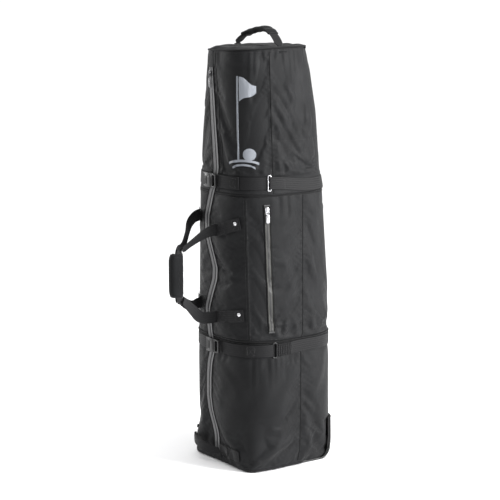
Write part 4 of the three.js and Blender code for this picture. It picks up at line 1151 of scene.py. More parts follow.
SLIDERS = [
    Slider(
        "main", DARK_STEEL, (0.167257, -0.048864, -0.984702), (-0.985879, 0, -0.167457),
        (-0.043747, -0.170553, 1.211105), 0.017, 0.013, 0.044, 0.009,
    ),
    Slider(
        "pocket", PULL_STEEL, (0.037428, 0.026845, -0.998939), (-0.240062, -0.970124, -0.035065),
        (0.162235, -0.099175, 0.811000), 0.016, 0.012, 0.040, 0.011,
    ),
]
LIP = 0.0012  # half the thickness of a slider's side lip
# The slider's outline in shares of its half width and half length, and its bridge in millimetres (along, above).
HEART = [(0.55, -1), (0.8, -0.3), (1, 0.45), (0.85, 1), (0.2, 1)]
BRIDGE = [(-4.9, 2.0), (-4.6, 4.6), (-2.8, 6.4), (0.4, 6.8), (3.6, 6.4), (5.0, 4.6), (5.3, 2.0)]
UNDERSIDE = -0.0007


def add_sliders():
    """Both zip sliders."""
    for s in SLIDERS:
        half, long = s.wide / 2, s.long / 2
        heart = mirrored([(half * x, long * y) for x, y in HEART])
        parts = [slab(s.seat, heart, UNDERSIDE, 0.0028, 0.0009)]
        for side in (-half * 0.86, half * 0.86):
            lip = [(side + x, long * y) for y, x in ((-0.8, -LIP), (-0.8, LIP), (0.7, LIP), (0.7, -LIP))]
            parts.append(slab(s.seat, lip, UNDERSIDE, 0.0033, 0.0006))
        arch = [(0, along / 1000, above / 1000) for along, above in BRIDGE]
        parts.append(tube_mesh(s.seat.at(resampled(arch, 22)), 0.00125, 8))
        nodes = [f"{s.name}_zip_slider"]
        piece(f"slider_{s.name}", gathered(parts), s.metal, f"{s.name}_slider", nodes, mapped=False)
        add_pull(s)


def add_pull(s):
    """The pull: an eye round the slider's bridge, a neck, and a tab with a grip of raised bars."""
    half, end = s.tab_wide / 2, -s.tab_long + 0.002
    eye = rounded_rect(-half * 0.78, half * 0.78, -0.0115, 0.0002, 0.0030)
    tab = mirrored([(half * 0.6, end), (half, end + 0.003), (half, -0.018), (half * 0.55, -0.0125)])
    parts = [frame_ring(s.hang, eye, 0.00105, 0), slab(s.hang, tab, -0.0008, 0.0011, 0.0005)]
    for y in np.linspace(-0.021, end + 0.006, 5):
        bar = rounded_rect(-half * 0.68, half * 0.68, y - 0.0009, y + 0.0009, 0.0006, 3)
        parts.append(slab(s.hang, bar, 0.0010, 0.0017, 0.0003))
    nodes = [f"{s.name}_zip_pull"]
    piece(f"pull_{s.name}", gathered(parts), s.metal, f"{s.name}_pull", nodes, mapped=False)


# ---------- straps ----------
STRAP_RADIUS = 0.178  # how far from the bag's axis the rings lie


class Strap:
    """One compression strap: its height at each direction, its ring or loop, and its buckle's parting line."""

    def __init__(self, name, z, seam, ring_angle, ring_wide, tail_x, rise, gathers):
        self.name, self.z, self.seam, self.ring_angle, self.ring_wide = name, z, seam, ring_angle, ring_wide
        self.rise, self.gathers = rise, gathers
        self.metal = name == "upper"
        self.inward = -1 if self.metal else 1  # from the doubled end's hem, the way the double layer runs
        self.clear = math.degrees((ring_wide / 2 - 0.0006) / STRAP_RADIUS)
        self.plug_angle = float(angle_at_x(seam + 0.014, z))
        self.socket_angle = float(angle_at_x(seam - 0.034, z)) + 360
        self.tail_angle = float(angle_at_x(tail_x, z))

    def height(self, angle):
        """The strap's middle: it climbs or drops a little towards the back."""
        return self.z + self.rise * (smoothstep(-30, 20, angle) - smoothstep(160, 210, angle))

    def ribbon(self, start, end, lift, width=STRAP_WIDTH, thick=0.0022, wobble=0.0004, close=(0, 0)):
        """A length of webbing round the bag; close draws its two ends out towards the ring's wire."""
        count = max(8, int(abs(end - start) * DEGREE / 0.004))
        angle = np.linspace(start, end, count)
        lift = lift + wobble * np.sin(np.radians(angle) * 11 + self.z * 40) * np.ones(count)
        share = np.linspace(0, 1, count)
        lift = lift + close[0] * smoothstep(0.06, 0, share) + close[1] * smoothstep(0.94, 1, share)
        z = self.height(angle)
        centre = shell.at(angle, z, lift)
        up = unit(shell.at(angle, z + 0.012, lift) - shell.at(angle, z - 0.012, lift))
        out = unit(np.cross(np.gradient(centre, axis=0), up))
        return ribbon_mesh(centre, up, out, width, thick)

    def place(self, angle, lift):
        return cloth_place(angle, self.height(angle), lift, 0.012)

    def bend(self, angle, lift):
        """The round fold where the webbing turns back on itself."""
        line = [(0, y, 0) for y in np.linspace(-0.0186, 0.0186, 9)]
        return tube_mesh(self.place(angle, lift).at(line), 0.0024, 8)


STRAPS = [
    Strap("upper", UPPER_STRAP, -0.006, -29.2, 0.009, 0.104, -0.013, 0),
    Strap("lower", LOWER_STRAP, 0.010, -24.5, 0.011, 0.128, 0.005, 8),
]
FOLD_PROUD, RING_TALL = 0.0046, 0.0232


def box_stitch(place, long, tall):
    """A sewn rectangle with a cross in it."""
    a, b = long / 2, tall / 2
    corners = [(-a, -b), (a, -b), (a, b), (-a, b)]
    rows = []
    for start, end in ((0, 1), (1, 2), (2, 3), (3, 0), (0, 2), (3, 1)):
        line = np.linspace([*corners[start], 0], [*corners[end], 0], 12)
        rows.append((place.at(line), np.tile(place.out, (12, 1))))
    return stitches(rows, 0.0034, 0.0025, 0.0004)


def add_straps():
    """Both compression straps: webbing, hems, stitches and the ring or loop each one goes round."""
    for s in STRAPS:
        add_strap_front(s)
        add_strap_band(s)
        add_strap_stitches(s)
        half = s.ring_wide / 2
        wire = s.place(s.ring_angle, 0.0036 if s.metal else FOLD_PROUD)
        ring = frame_ring(wire, rounded_rect(-half, half, -RING_TALL, RING_TALL, 0.003), 0.0017, 0)
        look, slot, node = (STEEL, "metal", "ring") if s.metal else (BUCKLE, "plastic", "loop")
        piece(f"strap_{s.name}_loop", ring, look, "case", [f"{s.name}_strap_{node}"], mapped=False)


def add_strap_front(s):
    """The webbing from the buckle to the ring, doubled near the buckle above and near the loop below."""
    near = s.ring_angle - s.clear - (1.3 if s.metal else 0)  # the ring's front wire shows beside the webbing
    front = s.ribbon(s.plug_angle, near, 0.0034, close=(0, 0.001))
    if s.metal:
        start, end = s.plug_angle + 1.5, s.tail_angle
        tail = s.ribbon(start, end, 0.0062, STRAP_WIDTH + 0.001, 0.0022, 0.0006, (-0.0008, 0.0008))
    else:
        tail = s.ribbon(s.tail_angle, near, 0.0060, STRAP_WIDTH - 0.001, 0.0022, 0.0006, (-0.0008, -0.0006))
    parts = gathered([front, tail, s.bend(near, FOLD_PROUD)])
    piece(f"strap_{s.name}_front", parts, WEB_PLAIN, "case", [f"{s.name}_strap_front"])
    hem_lift, fold_lift = (0.0076, 0.0074) if s.metal else (0.0070, 0.0048)
    hem_place = s.place(s.tail_angle + 1.2 * s.inward, hem_lift)
    hem = plate(hem_place, (-4.5, 4.5, -18.7, 18.7), 1, (-1.2, 1), 0.6)
    fold = plate(s.place(s.plug_angle + 4.2, fold_lift), (-4, 4, -18.8, 18.8), 1, (-1, 0.8), 0.5)
    piece(f"strap_{s.name}_hems", gathered([hem, fold]), WEB, "case")


def add_strap_band(s):
    """The webbing from the ring round the back to the buckle's socket, doubled by the ring."""
    far = s.ring_angle + s.clear - (0.7 if s.metal else 0)
    parts = [s.ribbon(far, s.socket_angle, 0.0034, close=(0.001, 0))]
    parts.append(s.bend(far, 0.0056 if s.metal else FOLD_PROUD))
    parts.append(s.ribbon(far, far + 17, 0.0056, STRAP_WIDTH - 0.001, 0.0020, 0.0003, (-0.0008, -0.0014)))
    for k in range(s.gathers):
        crease = s.place(s.ring_angle + s.clear + 2.0 + 1.9 * k, 0.0064)
        bow = [(0.0006 * math.sin(y * 190 + k), y, 0) for y in np.linspace(-0.0180, 0.0180, 9)]
        parts.append(tube_mesh(crease.at(bow), 0.0015, 8))
    piece(f"strap_{s.name}_band", gathered(parts), WEB, "case", [f"{s.name}_strap_band"])


def add_strap_stitches(s):
    """The crossed rectangle of stitches that holds the doubled end."""
    place = s.place(s.tail_angle + 5.5 * s.inward, 0.0075 if s.metal else 0.0073)
    piece(f"strap_{s.name}_stitches", box_stitch(place, 0.022, 0.028), THREAD, "case")


# ---------- buckles ----------
BUCKLE_TALL = 0.044


def add_buckles():
    """A socket and a plug on each strap, meeting at the parting line."""
    for s in STRAPS:
        low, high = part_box(f"{s.name}_buckle_socket")
        place = Place((s.seam, high[1], s.z), (1, 0, 0), (0, 0, 1))
        thick = (high[1] - low[1]) * 1000
        add_socket(s.name, place, thick)
        add_plug(s.name, place, thick)


def add_socket(name, place, thick):
    """The female half: two plates with side windows between them, grips, and the bar the webbing goes round."""
    tall = BUCKLE_TALL * 500
    shape = [(-30.0, tall - 1.5), (-12, tall), (-0.6, tall - 1.5)]
    outline = [(x / 1000, -y / 1000) for x, y in shape] + [(x / 1000, y / 1000) for x, y in shape[::-1]]
    parts = [slab(place, outline, (thick - 2.6) / 1000, (thick + 0.4) / 1000, 0.0011)]
    parts.append(slab(place, outline, 0.0, 0.0022, 0.0008))
    for side in (-1, 1):
        rail, lip = side * (tall - 3.2), side * (tall - 2.2)
        parts.append(plate(place, (-37.2, -18.0, rail - 3.2, rail + 3.2), 1.6, (0.6, thick - 0.4), 1.0, 4))
        parts.append(plate(place, (-5.2, -0.4, lip - 2.2, lip + 2.2), 1.2, (0.8, thick - 0.8), 0.8))
    parts.append(plate(place, (-38.0, -33.6, -tall + 0.6, tall - 0.6), 1.8, (1.0, thick - 1.2), 1.4, 4))
    for x in (-25.0, -21.5, -18.0):
        parts.append(plate(place, (x - 0.9, x + 0.9, -12.5, 12.5), 0.8, (thick, thick + 1.2), 0.5))
    parts.append(plate(place, (-12.5, -3.5, -13.5, 13.5), 4.0, (thick + 0.2, thick + 0.9), 0.4, 6))
    piece(f"buckle_{name}_socket", gathered(parts), BUCKLE, "case", [f"{name}_buckle_socket"])


def add_plug(name, place, thick):
    """The male half: a frame with the webbing's bar, a guide tongue, and two side prongs with pressing pads."""
    tall, middle = BUCKLE_TALL / 2, thick / 2
    levels = 0.0012, (thick - 1.4) / 1000, 0.0012
    rail = [(0.0248, tall - 0.0072), (0.0248, tall - 0.0026), (0.0070, tall), (0.0070, tall - 0.0050)]
    parts = [slab(place, [(x, -y) for x, y in rail[::-1]], *levels), slab(place, rail, *levels)]
    head = [(0.0006, -tall + 0.001), (0.0080, -tall - 0.0002), (0.0090, tall), (0.0006, tall - 0.001)]
    parts.append(slab(place, head, 0.0008, (thick - 0.8) / 1000, 0.0014))
    reach = tall * 1000 - 3.5
    parts.append(plate(place, (20.5, 24.9, -reach, reach), 1.8, (1.0, thick - 1.2), 1.4, 4))
    for x in (3.0, 5.6):
        parts.append(plate(place, (x - 0.7, x + 0.7, -14, 14), 0.6, (thick - 1.0, thick + 0.2), 0.4))
    for side in (-1, 1):
        prong = [(2, 14.2), (-6, 15.2), (-14, 16.0), (-20.5, 15.0), (-24.0, 12.0)]
        path = [(x / 1000, side * y / 1000, middle / 1000) for x, y in prong]
        parts.append(tube_mesh(place.at(resampled(path, 16)), 0.0018, 8))
    parts.append(plate(place, (-16.0, 2.0, -2.2, 2.2), 1.0, (middle - 1.2, middle + 1.2), 0.6))
    nodes = [f"{name}_buckle_plug"]
    piece(f"buckle_{name}_plug", gathered(parts), BUCKLE, f"{name}_plug", nodes, mapped=False)


# ---------- carry handles ----------
class Loop:
    """One webbing loop: the x, y and heights where it leaves the bag, and its x inside the wrap."""

    def __init__(self, side, way, hinge, front, grip, **heights):
        self.side, self.way, self.heights = side, way, heights
        self.hinge, self.front, self.grip = hinge, front, grip


LOOPS = [
    Loop("right", 1, 0.022, -0.18716, -0.0100, upper=0.742, lower=0.474),
    Loop("left", -1, -0.082, -0.18003, -0.0180, upper=0.768, lower=0.500),
]
WRAP = {"x": -0.014, "y": -0.310, "z": 0.608, "long": 0.136, "inner": 0.0215, "outer": 0.0232}
GRIP_Y = WRAP["y"] + 0.005
GRIP_HALF = 0.072
# Each arm of a loop, from the bag to the wrap: percent of the way out, percent of the way to the wrap's height,
# tilt of the webbing from upright in degrees, and its width in millimetres.
ARMS = {
    ("right", "upper"): [
        (0, 0, 0, 37), (12, 0, 10, 36), (36, 18, 46, 30),
        (70, 64, 76, 22), (88, 90, 88, 20), (100, 106, 90, 20),
    ],
    ("left", "upper"): [
        (0, -10, 0, 37), (22, -4, 8, 36), (47, 12, 52, 27),
        (60, 40, 84, 17), (78, 76, 98, 17), (100, 106, 90, 19),
    ],
    ("right", "lower"): [
        (0, 0, 0, 37), (20, -2, 6, 37), (45, 2, 26, 36),
        (64, 40, 50, 32), (86, 86, 78, 25), (100, 106, 90, 22),
    ],
    ("left", "lower"): [
        (0, 0, 0, 37), (25, -5, 22, 36), (50, 10, 48, 34),
        (75, 50, 72, 30), (92, 92, 86, 24), (100, 106, 90, 20),
    ],
}
# Each sewn end: x of its rivet, and how far it climbs outwards.
ENDS = {
    ("right", "upper"): (0.098, 0.028),
    ("right", "lower"): (0.112, 0.016),
    ("left", "upper"): (-0.108, 0.008),
    ("left", "lower"): (-0.112, 0.004),
}


def loop_mesh(loop):
    """One webbing loop: from its upper end out to the grip, down through it, and back to its lower end."""
    rows = []
    for level, sign in (("upper", 1), ("lower", -1)):
        arm = ARMS[loop.side, level]
        z0, z1 = loop.heights[level], WRAP["z"] + sign * GRIP_HALF
        for out, drop, tilt, width in arm if sign > 0 else arm[::-1]:
            x = loop.hinge + (loop.grip - loop.hinge) * smoothstep(0, 1, out / 100)
            y = loop.front + (GRIP_Y - loop.front) * out / 100
            turn = math.radians(tilt if sign > 0 else 180 - tilt)
            rows.append((x, y, z0 + (z1 - z0) * drop / 100, turn, width / 1000))
    rows = resampled(rows, 96)
    centre, tilt, width = rows[:, :3], rows[:, 3], rows[:, 4]
    across = np.stack([np.zeros_like(tilt), -np.sin(tilt), np.cos(tilt)], 1)
    forward = unit(np.gradient(centre, axis=0))
    across = unit(across - forward * np.sum(across * forward, 1, keepdims=True))
    return ribbon_mesh(centre, across, np.cross(forward, across), width, 0.0024)


def add_carry_handles():
    """Both webbing loops with their stitches and rivets, and the sewn ends that hold them."""
    for loop in LOOPS:
        node = f"carry_loop_{loop.side}"
        web = piece(f"{node}_web", loop_mesh(loop), WEB_SOFT, None, [node])
        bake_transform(web)
        for level in ("upper", "lower"):
            add_anchor(loop, level)
    add_grip_wrap()


def add_anchor(loop, level):
    """A loop's end: webbing sewn flat on the bag and riveted."""
    name = f"{level}_{loop.side}"
    rivet, climb = ENDS[loop.side, level]
    inner, outer = loop.hinge + loop.way * 0.001, rivet + loop.way * 0.012
    share = np.linspace(0, 1, 34)
    x, z = inner + (outer - inner) * share, loop.heights[level] + climb * share
    angle = angle_at_x(x, z)
    base, normal = base_point(angle, z)
    lift = 0.0013 + 0.0036 * smoothstep(0.10, 0.0, share)
    cloth = np.sum((shell.at(angle, z, 0.0012) - base) * normal, 1)
    centre = smoothed(base + normal * np.maximum(cloth, lift)[:, None])
    along = unit(np.gradient(centre, axis=0))
    up = unit(np.array([0, 0, 1.0]) - along * along[:, 2:3])
    out = np.cross(along, up) * loop.way
    parts = ribbon_mesh(centre, up, out, STRAP_WIDTH, 0.0022)
    piece(f"carry_anchor_{name}_web", parts, WEB_SOFT, "case", [f"carry_anchor_{name}"])

    def seat(k, lift, higher=0.0):
        return Place(centre[k] + out[k] * lift + up[k] * higher, along[k], up[k] * loop.way)

    sewn = [box_stitch(seat(k, 0.0013), long, 0.030) for k, long in ((9, 0.024), (28, 0.020))]
    piece(f"carry_stitches_{name}", gathered(sewn), THREAD, "case")
    head = seat(int(np.argmin(np.abs(x - rivet))), 0.0010, 0.004)
    parts = gathered([dome(head, 0.0050, 0.0026), slab(head, circle(28, 0.0056), 0.0, 0.0009, 0.0004)])
    piece(f"rivet_{name}", parts, STEEL, "case", [f"carry_rivet_{name}"])


def smoothed(points):
    """A line of points, each the mean of itself and the two on either side."""
    padded = np.pad(points, ((2, 2), (0, 0)), mode="reflect", reflect_type="odd")
    return sum(padded[k : k + len(points)] for k in range(5)) / 5


def wrap_reach(share):
    """How far the wrap stands out from its middle, away from the bag: its corners there are rounded off."""
    corner = np.clip(1 - np.minimum(share, 1 - share) / 0.22, 0, 1)
    return WRAP["outer"] * (0.42 + 0.58 * (1 - corner**2.4) ** (1 / 2.4))


def wrap_rings():
    """The padded wrap's section at each height: its outer side, then back along the loops' channel."""
    sweep = np.linspace(-math.pi / 2, math.pi / 2, 37)
    outer = [(abs(math.cos(a)) ** 0.55, math.copysign(abs(math.sin(a)) ** 0.62, a)) for a in sweep]
    sweep = np.linspace(math.pi / 2, -math.pi / 2, 15)
    inner = [(abs(math.cos(a)) ** 0.35, math.copysign(abs(math.sin(a)) ** 0.5, a)) for a in sweep]
    x0, x1 = WRAP["x"] - 0.0105, WRAP["x"] + 0.0110
    rings = []
    for share in np.linspace(0, 1, 46):
        z = WRAP["z"] + (share - 0.5) * WRAP["long"]
        end = 1 - 0.30 * (smoothstep(0.09, 0.0, share) ** 1.5 + smoothstep(0.91, 1.0, share) ** 1.5)
        quilt = 1 + 0.03 * math.sin(share * math.pi * 6.5 + 0.6) * math.sin(math.pi * share)
        inwards, outwards = WRAP["inner"] * (0.9 + 0.1 * end), float(wrap_reach(share))
        row = []
        for x, y in outer:
            reach = inwards if y > 0 else outwards
            row.append((x0 + (x1 - x0) * x * quilt * end, WRAP["y"] + y * reach, z))
        for x, y in inner:
            reach = min(0.0150, (inwards if y > 0 else outwards) - 0.003)
            row.append((x0 + 0.0010 + 0.0135 * x, WRAP["y"] + y * reach, z))
        rings.append(row)
    return np.array(rings), len(outer)


def add_grip_wrap():
    """The padded wrap: a stuffed sleeve, open towards the left loop, with bound ends and stitching."""
    rings, half = wrap_rings()
    count, m = rings.shape[:2]
    faces = grid_faces(count, m, closed=True).tolist()
    last = m - half - 1
    # each end is closed by faces between the outer side and the channel, which has fewer points
    for row, flip in ((0, True), (count - 1, False)):
        for j in range(half - 1):
            a, b = row * m + j, row * m + j + 1
            c, d = [row * m + half + last - round(k / (half - 1) * last) for k in (j + 1, j)]
            face = [a, b, c, d] if c != d else [a, b, c]
            faces.append(face[::-1] if flip else face)
    uv = np.stack([arc_lengths(rings, 0), arc_lengths(rings, 1)], -1)
    parts = (rings, faces, uv)
    wrap = piece("carry_wrap_pad", parts, CLOTH_TOP, "carry_right", ["carry_grip_wrap"], sharp=60)
    rows = []
    for column in (8, 18, 28):
        line = rings[3:-3, column]
        out = unit((line - [WRAP["x"] + 0.010, WRAP["y"], 0]) * [1, 1, 0])
        rows.append((line + out * 0.0003, out))
    piece("carry_wrap_stitches", stitches(rows), THREAD, "carry_right")
    rims = [tube_mesh(rings[k, :half] + [0.0004, 0, 0], 0.0016, 8) for k in (1, count - 2)]
    piece("carry_wrap_binding", gathered(rims), BINDING, "carry_right")


# ---------- top handle ----------
TOP_ARCH = [(0, 0), (0.07, 14), (0.18, 28), (0.34, 40), (0.52, 48), (0.66, 51), (0.78, 45), (0.9, 26), (1, 0)]
TOP_LEFT, TOP_RIGHT, TOP_Y, TOP_Z = -0.116, 0.112, -0.017, 1.295


def arch_line(low, high, count):
    """The arch's centre line between two shares of its length, with its outward directions."""
    points = [(TOP_LEFT + (TOP_RIGHT - TOP_LEFT) * t, TOP_Y, TOP_Z + rise / 1000) for t, rise in TOP_ARCH]
    line = resampled(points, 121)
    part = line[int(low * 120) : int(high * 120) + 1]
    share = np.linspace(0, len(part) - 1, count)
    part = picked(share, np.arange(len(part)), part)
    along = unit(np.gradient(part, axis=0))
    out = np.stack([-along[:, 2], np.zeros(count), along[:, 0]], 1)
    return part, along, out


def add_top_handle():
    """The webbing arch, its padded sleeve and the two feet it is sewn down by."""
    line, _, out = arch_line(0, 1, 64)
    share = np.linspace(0, 1, 64)
    width = 0.0302 - 0.018 * (smoothstep(0.06, 0, share) + smoothstep(0.94, 1, share))
    across = np.tile([0, 1.0, 0], (64, 1))
    parts = ribbon_mesh(line, across, out, width, 0.0030)
    web = piece("top_handle_web", parts, WEB_SOFT, None, ["top_handle_webbing"])
    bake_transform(web)
    add_top_wrap()
    feet = []
    for x, sign in ((TOP_LEFT, -1), (TOP_RIGHT, 1)):
        foot = Place((x + sign * 0.003, TOP_Y, HEIGHT + 0.0075), (sign * 0.9, 0, -0.55), (0, sign, 0))
        feet.append(plate(foot, (-6, 16, -15.5, 15.5), 3, (-2.2, 2.6), 1.2, 4))
        knot = [(x - sign * 0.001, TOP_Y + y, HEIGHT + 0.0125) for y in np.linspace(-0.0105, 0.0105, 7)]
        feet.append(tube_mesh(knot, 0.0034, 8))
    piece("top_handle_feet", gathered(feet), WEB, "case", mapped=False)


def add_top_wrap():
    """The padded sleeve round the arch: fat in the middle, stepped near one end, gathered at its bound ends."""
    count, sides = 50, 40
    line, _, out = arch_line(0.22, 0.80, count)
    share = np.linspace(0, 1, count)
    ends = smoothstep(0.07, 0, share) + smoothstep(0.93, 1, share)
    half_wide = 0.0200 - 0.0022 * ends + 0.0008 * np.sin(share * 17)
    half_thick = 0.0068 + 0.0012 * np.sin(np.pi * share) - 0.0024 * ends + 0.0005 * np.sin(share * 29 + 1)
    half_thick += 0.0016 * bump(share, 0.72, 0.05) - 0.0026 * smoothstep(0.74, 0.80, share)
    turn = turns(sides)
    c, s = np.cos(turn), np.sin(turn)
    u, w = np.sign(c) * np.abs(c) ** 0.75, np.sign(s) * np.abs(s) ** 0.9
    pucker = 0.0006 * np.sin(share * 60)[:, None] * np.abs(s) * np.sign(w)
    rings = line[:, None] + np.array([0, 1.0, 0]) * (half_wide[:, None] * u)[..., None]
    rings = rings + out[:, None] * (half_thick[:, None] * w + pucker)[..., None]
    uv = np.stack([arc_lengths(rings, 0), arc_lengths(rings, 1)], -1)
    parts = (rings, capped_faces(count, sides), uv)
    wrap = piece("top_handle_pad", parts, CLOTH_TOP, "top_handle", ["top_handle_wrap"], sharp=70)
    rims = [rings[k] + (rings[k] - line[k]) * 0.05 for k in (1, count - 2)]
    parts = [tube_mesh(rim, 0.0017, 8, closed=True) for rim in rims]
    piece("top_handle_binding", gathered(parts), BINDING, "top_handle")
    rows = []
    for column in (4, 16, 24, 36):
        path = rings[2:-2, column]
        away = unit(path - line[2:-2])
        rows.append((path + away * 0.0003, away))
    piece("top_handle_stitches", stitches(rows), THREAD, "top_handle")


# ---------- bottom handle ----------
HANDLE_Z, HANDLE_RIGHT, HANDLE_LEFT = 0.054, 0.004, -0.128
HANDLE_PROUD, HANDLE_START = 0.031, 0.0065


def add_bottom_handle():
    """A band of webbing that bows off the front between its two sewn patches."""
    count = 48
    share = np.linspace(0, 1, count)
    angle = angle_at_x(HANDLE_RIGHT + (HANDLE_LEFT - HANDLE_RIGHT) * share, HANDLE_Z)
    height = HANDLE_Z - 0.014 + 0.022 * share  # it hangs lower at its sewn patch
    base, normal = base_point(angle, height)
    bow = HANDLE_START + (HANDLE_PROUD - HANDLE_START) * np.sin(math.pi * share) ** 0.7
    centre = base + normal * (bow + 0.00175)[:, None]
    spread = np.minimum(1, np.minimum(5 * share, 5 * (1 - share)))
    width = 0.021 + 0.008 * spread
    up = np.tile([0, 0, 1.0], (count, 1))
    out = unit(np.cross(up, np.gradient(centre, axis=0)))
    parts = ribbon_mesh(centre, up, out, width, 0.0034)
    handle = piece("bottom_handle_web", parts, WEB_SOFT, None, ["bottom_handle"])
    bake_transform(handle)


def add_handle_patches():
    """The patches that hold the lower handle, dark cords round them as painted shadow, and the stitches along
    the longer one.
    """
    low, high = HANDLE_Z - 0.006, HANDLE_Z - 0.003
    patches = [
        patch(0.010, 0.114, low, 0.040, 0.0022),
        patch(-0.156, -0.131, low, 0.034, 0.0022),
        patch(0.006, 0.060, high, 0.029, 0.0042),
    ]
    piece("bottom_handle_patches", gathered(patches), WEB, "case")
    # Dark cords round the two patches: painted shadow along their edges.
    edges = [patch_shadow_outline(0.006, 0.114, low, 0.040, 0.0032), patch_shadow_outline(0.006, 0.060, high, 0.029, 0.0056)]
    piece("bottom_handle_painted_shadow", gathered(edges), CORD_AND_SHADE, "case")
    xs = np.linspace(0.012, 0.098, 30)
    rows = [with_outward(angle_at_x(xs, z), z, 0.0034) for z in (HANDLE_Z - 0.019, HANDLE_Z + 0.003)]
    piece("bottom_handle_stitches", stitches(rows), THREAD, "case")


def add_corner_tabs():
    """Two small folded tabs: one low on the front, and one at the top of the hood."""
    tabs = []
    low_corner = cloth_place(angle_at_x(-0.150, 0.086), 0.086, 0.0005, 0.004)
    for corner in (low_corner, cloth_place(35, HEIGHT + 0.001, 0.0005)):
        tabs.append(plate(corner, (-6, 6, -6, 4), 1.5, (-2, 4.2), 1.6, 4))
    piece("corner_tabs", gathered(tabs), WEB, "case")


def patch_rounding(count):
    """The share of a patch's height along its length: it narrows at its two ends."""
    share = np.linspace(0, 1, count)
    return 1 - 0.35 * (smoothstep(0.10, 0.0, share) ** 2 + smoothstep(0.90, 1.0, share) ** 2)


def patch_shadow_outline(x0, x1, z, tall, lift):
    """A dark cord round the free sides of a patch: painted shadow along its edge."""
    xs = np.linspace(x0, x1, 26)
    half = tall / 2 * patch_rounding(26)
    x = np.concatenate([xs, xs[::-1]])
    height = np.concatenate([z - half, z + half[::-1]])
    return tube_mesh(shell.at(angle_at_x(x, height), height, lift), 0.0011, 6)


def patch(x0, x1, z, tall, lift):
    """A sewn webbing patch lying on the front of the bag."""
    xs = np.linspace(x0, x1, max(6, int(abs(x1 - x0) / 0.004)))
    angle = angle_at_x(xs, z)
    centre = shell.at(angle, z, lift)
    up = unit(shell.at(angle, z + 0.012, 0.0022) - shell.at(angle, z - 0.012, 0.0022))
    out = unit(np.cross(np.gradient(centre, axis=0), up))
    return ribbon_mesh(centre, up, out, tall * patch_rounding(len(xs)), 0.0024)


# ---------- embroidered pictogram ----------
EMBLEM_Z, EMBLEM_TALL, EMBLEM_WIDE = 1.070, 0.285, 0.088
EMBLEM_RADIUS = 0.168  # how far from the bag's axis it lies


SATIN_RINGS = [(1.0, 0.0002), (0.97, 0.0011), (0.8, 0.0014), (0.5, 0.0014), (0.2, 0.0014)]  # share, how proud


def emblem_point(u, v, lift=0.0006):
    """A point of the emblem's own plane (u across, v up, -0.5 to 0.5) on the hood's front right panel."""
    z = EMBLEM_Z + v * EMBLEM_TALL
    centre = np.interp(z, [0.92, 1.21], [-53.5, -57.0])
    return shell.at(centre + np.degrees(u * EMBLEM_WIDE / EMBLEM_RADIUS), z, lift)


def satin(outline):
    """A filled outline laid on the cloth as a raised patch of thread."""
    outline = np.array(outline)
    middle = outline.mean(0)
    rings = [middle + (outline - middle) * share for share, _ in SATIN_RINGS]
    points = [emblem_point(*ring.T, lift) for ring, (_, lift) in zip(rings, SATIN_RINGS)]
    count, last = len(outline), len(rings) - 1
    faces = grid_faces(len(rings), count, closed=True).tolist() + [[last * count + j for j in range(count)]]
    return np.vstack(points), [face[::-1] for face in faces], np.vstack(rings) * [EMBLEM_WIDE, EMBLEM_TALL]


def ground_line(drop, half, thick):
    """A curved line of thread under the ball."""
    share = np.linspace(-1, 1, 20)
    middle = -0.415 - drop + 0.035 * (1 - share**2)
    rows = [np.column_stack([share * half, middle + side]) for side in (thick, -thick)]
    points = np.vstack([emblem_point(*row.T, 0.0012) for row in rows])
    return points, grid_faces(2, 20)[:, ::-1].tolist(), np.vstack(rows) * [EMBLEM_WIDE, EMBLEM_TALL]


def add_emblem():
    """A generic golf pictogram: a flag on its pole over a ball and the curved ground."""
    corners = [(-0.19, -0.38), (-0.13, -0.38), (-0.13, 0.49), (-0.19, 0.49)]
    pole = np.vstack([np.linspace(corners[k], corners[(k + 1) % 4], 14)[:-1] for k in range(4)])
    share = np.linspace(0, 1, 14)
    wave = 0.012 * np.sin(share * 2 * math.pi)
    top = np.column_stack([-0.10 + 0.58 * share, 0.485 - 0.09 * share + wave])
    low = np.column_stack([-0.10 + 0.58 * share, 0.235 + 0.09 * share + wave])
    ball = circle(30, 1) * [0.21, 0.065] + [0.20, -0.315]
    parts = [satin(pole), satin(np.vstack([top, low[::-1]])), satin(ball)]
    parts += [ground_line(0.0, 0.50, 0.013), ground_line(0.045, 0.38, 0.011)]
    piece("emblem_thread", gathered(parts), BADGE, "case")


# ---------- nodes kept from the frame ----------
WHEEL_PARTS = [("tyre", TYRE), ("hub", KICK), ("bearing", STEEL), ("axle", STEEL)]
KEPT = [("wheel_base", KICK), ("base_panel", BOARD), ("front_foot", TYRE), ("back_board", BOARD)]
KEPT += [("hood_foam_liner", FOAM)]
KEPT += [(f"wheel_{name}_{side}", material) for name, material in WHEEL_PARTS for side in ("right", "left")]


def finish_kept_nodes():
    """New materials on the nodes that stay as they are, with their hard edges softened by a bevel."""
    for name, material in KEPT:
        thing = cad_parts[name]
        thing.data.materials.clear()
        thing.data.materials.append(material)
    wheels = [f"wheel_{name}_{side}" for name in ("tyre", "hub") for side in ("right", "left")]
    for name in ["wheel_base", "front_foot"] + wheels:
        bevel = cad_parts[name].modifiers.new("bevel", "BEVEL")
        bevel.width = 0.0012
        bevel.segments = 2
        bevel.limit_method = "ANGLE"
        bevel.angle_limit = math.radians(35)


